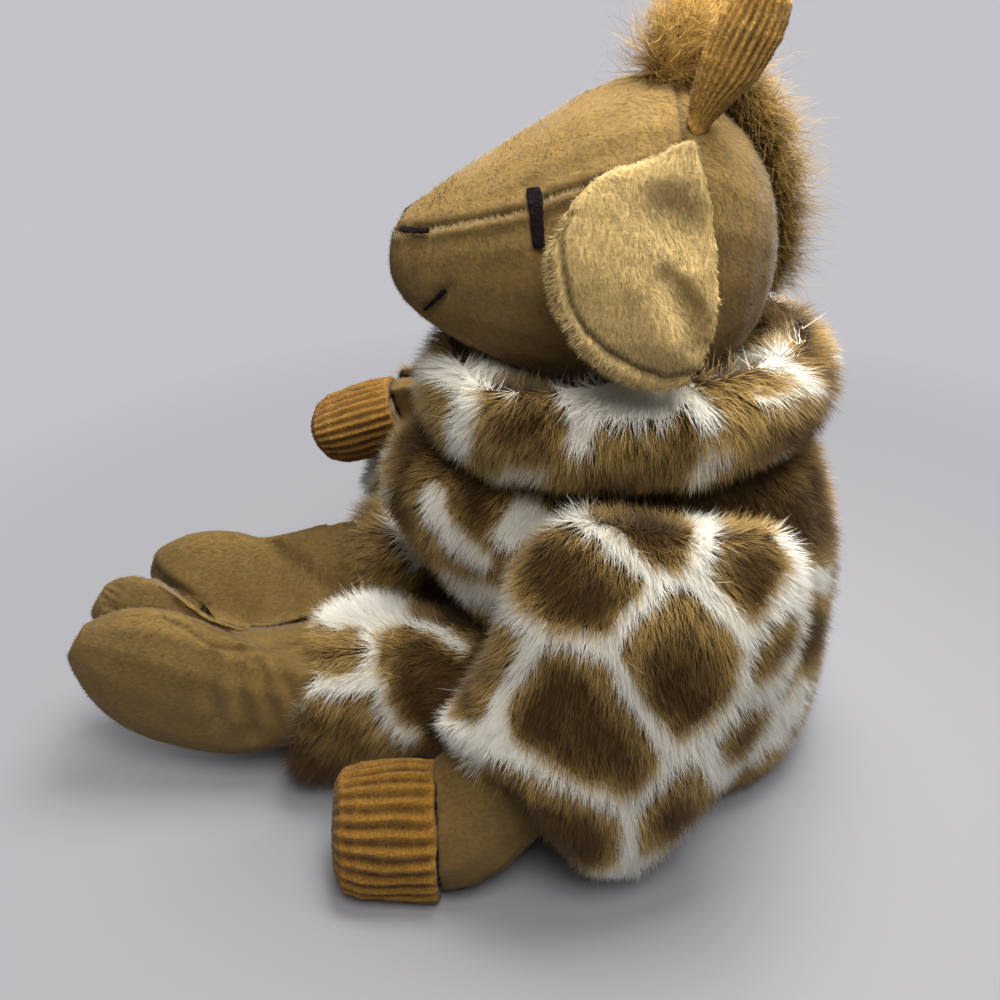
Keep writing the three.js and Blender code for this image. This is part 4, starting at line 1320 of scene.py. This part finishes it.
class GIRAFFE_OT_mane(bpy.types.Operator):
    """Grow the mane from between the horns down the back of the head"""
    bl_idname = "giraffe.mane"
    bl_label = "Mane"

    def execute(self, context):
        rng = rng_of("mane")
        base = even_form("mane_backing", ["mane"], voxel=1.5, passes=20)
        push(base, -MANE_DEPTH)
        places = points_of(base)
        set_points(base, places + unit((HEAD_MIDDLE - places) * (0, 1, 1)) * MANE_INWARD)
        mark(base, np.zeros(len(places)))
        finish = made_once(mane_material)
        dress(base, finish, "head", "mane_fur", ["mane"])
        roots, normals = roots_on(base, HAIRS, rng)
        # Painted light: hair in the tuft is made paler. Painted shade: hair that grows in towards the head is
        # made darker.
        tuft = fading(roots[:, 1] + 2 * MM, 2 * MM)
        outward = unit((roots - HEAD_MIDDLE) * (0, 1, 1))
        inward_shade = smooth_step(-(normals * outward).sum(axis=1), -0.5, 0.2) * (1 - tuft)
        comb = (np.array((0, 0.55, 0.9)) * tuft[:, None] + np.array((0, 0.55, -0.8)) * (1 - tuft[:, None])
                + swirls(roots, 8, 61) * 0.8)
        hair = grow("mane_hair", roots, normals, comb, sizes().mane_length, width=0.18 * MM, lean=0.5,
                    curl=0.7, rng=rng, patch=tuft - 0.8 * inward_shade, clump=(7, 0.85), stray=0.45, wave=0.45,
                    joints=3)
        dress(hair, finish, "head", "mane_fur")
        loose = rng.choice(len(roots), STRAYS)
        hair = grow("mane_strays", roots[loose], normals[loose], comb[loose], 1.35 * sizes().mane_length,
                    width=0.15 * MM, lean=0.3, curl=0.8, rng=rng, patch=0.7 * rng.random(STRAYS),
                    clump=(6, 0.3), stray=0.6, wave=0.45, joints=5)
        dress(hair, finish, "head", "mane_fur")
        return {"FINISHED"}


class GIRAFFE_PT_panel(bpy.types.Panel):
    """Sizes, colours and operators of the plush giraffe"""
    bl_idname = "GIRAFFE_PT_panel"
    bl_label = "Plush giraffe"
    bl_space_type = "VIEW_3D"
    bl_region_type = "UI"
    bl_category = "Giraffe"

    def draw(self, context):
        for group in (context.scene.giraffe_sizes, context.scene.giraffe_colours):
            for key in group.__annotations__:
                self.layout.prop(group, key)
        for operator in OPERATORS:
            self.layout.operator(operator.bl_idname)


OPERATORS = (GIRAFFE_OT_stage, GIRAFFE_OT_head, GIRAFFE_OT_ears, GIRAFFE_OT_limbs, GIRAFFE_OT_corduroy,
             GIRAFFE_OT_mane, GIRAFFE_OT_suit, GIRAFFE_OT_sleeves)
CLASSES = (PlushSizes, PlushColours, *OPERATORS, GIRAFFE_PT_panel)


def register():
    for item in CLASSES:
        bpy.utils.register_class(item)
    bpy.types.Scene.giraffe_sizes = PointerProperty(type=PlushSizes)
    bpy.types.Scene.giraffe_colours = PointerProperty(type=PlushColours)


def unregister():
    del bpy.types.Scene.giraffe_colours
    del bpy.types.Scene.giraffe_sizes
    for item in reversed(CLASSES):
        bpy.utils.unregister_class(item)


def main():
    register()
    for operator in OPERATORS:
        part = operator.bl_idname.split(".")[1]
        getattr(bpy.ops.giraffe, part)()


if __name__ == "__main__":
    main()
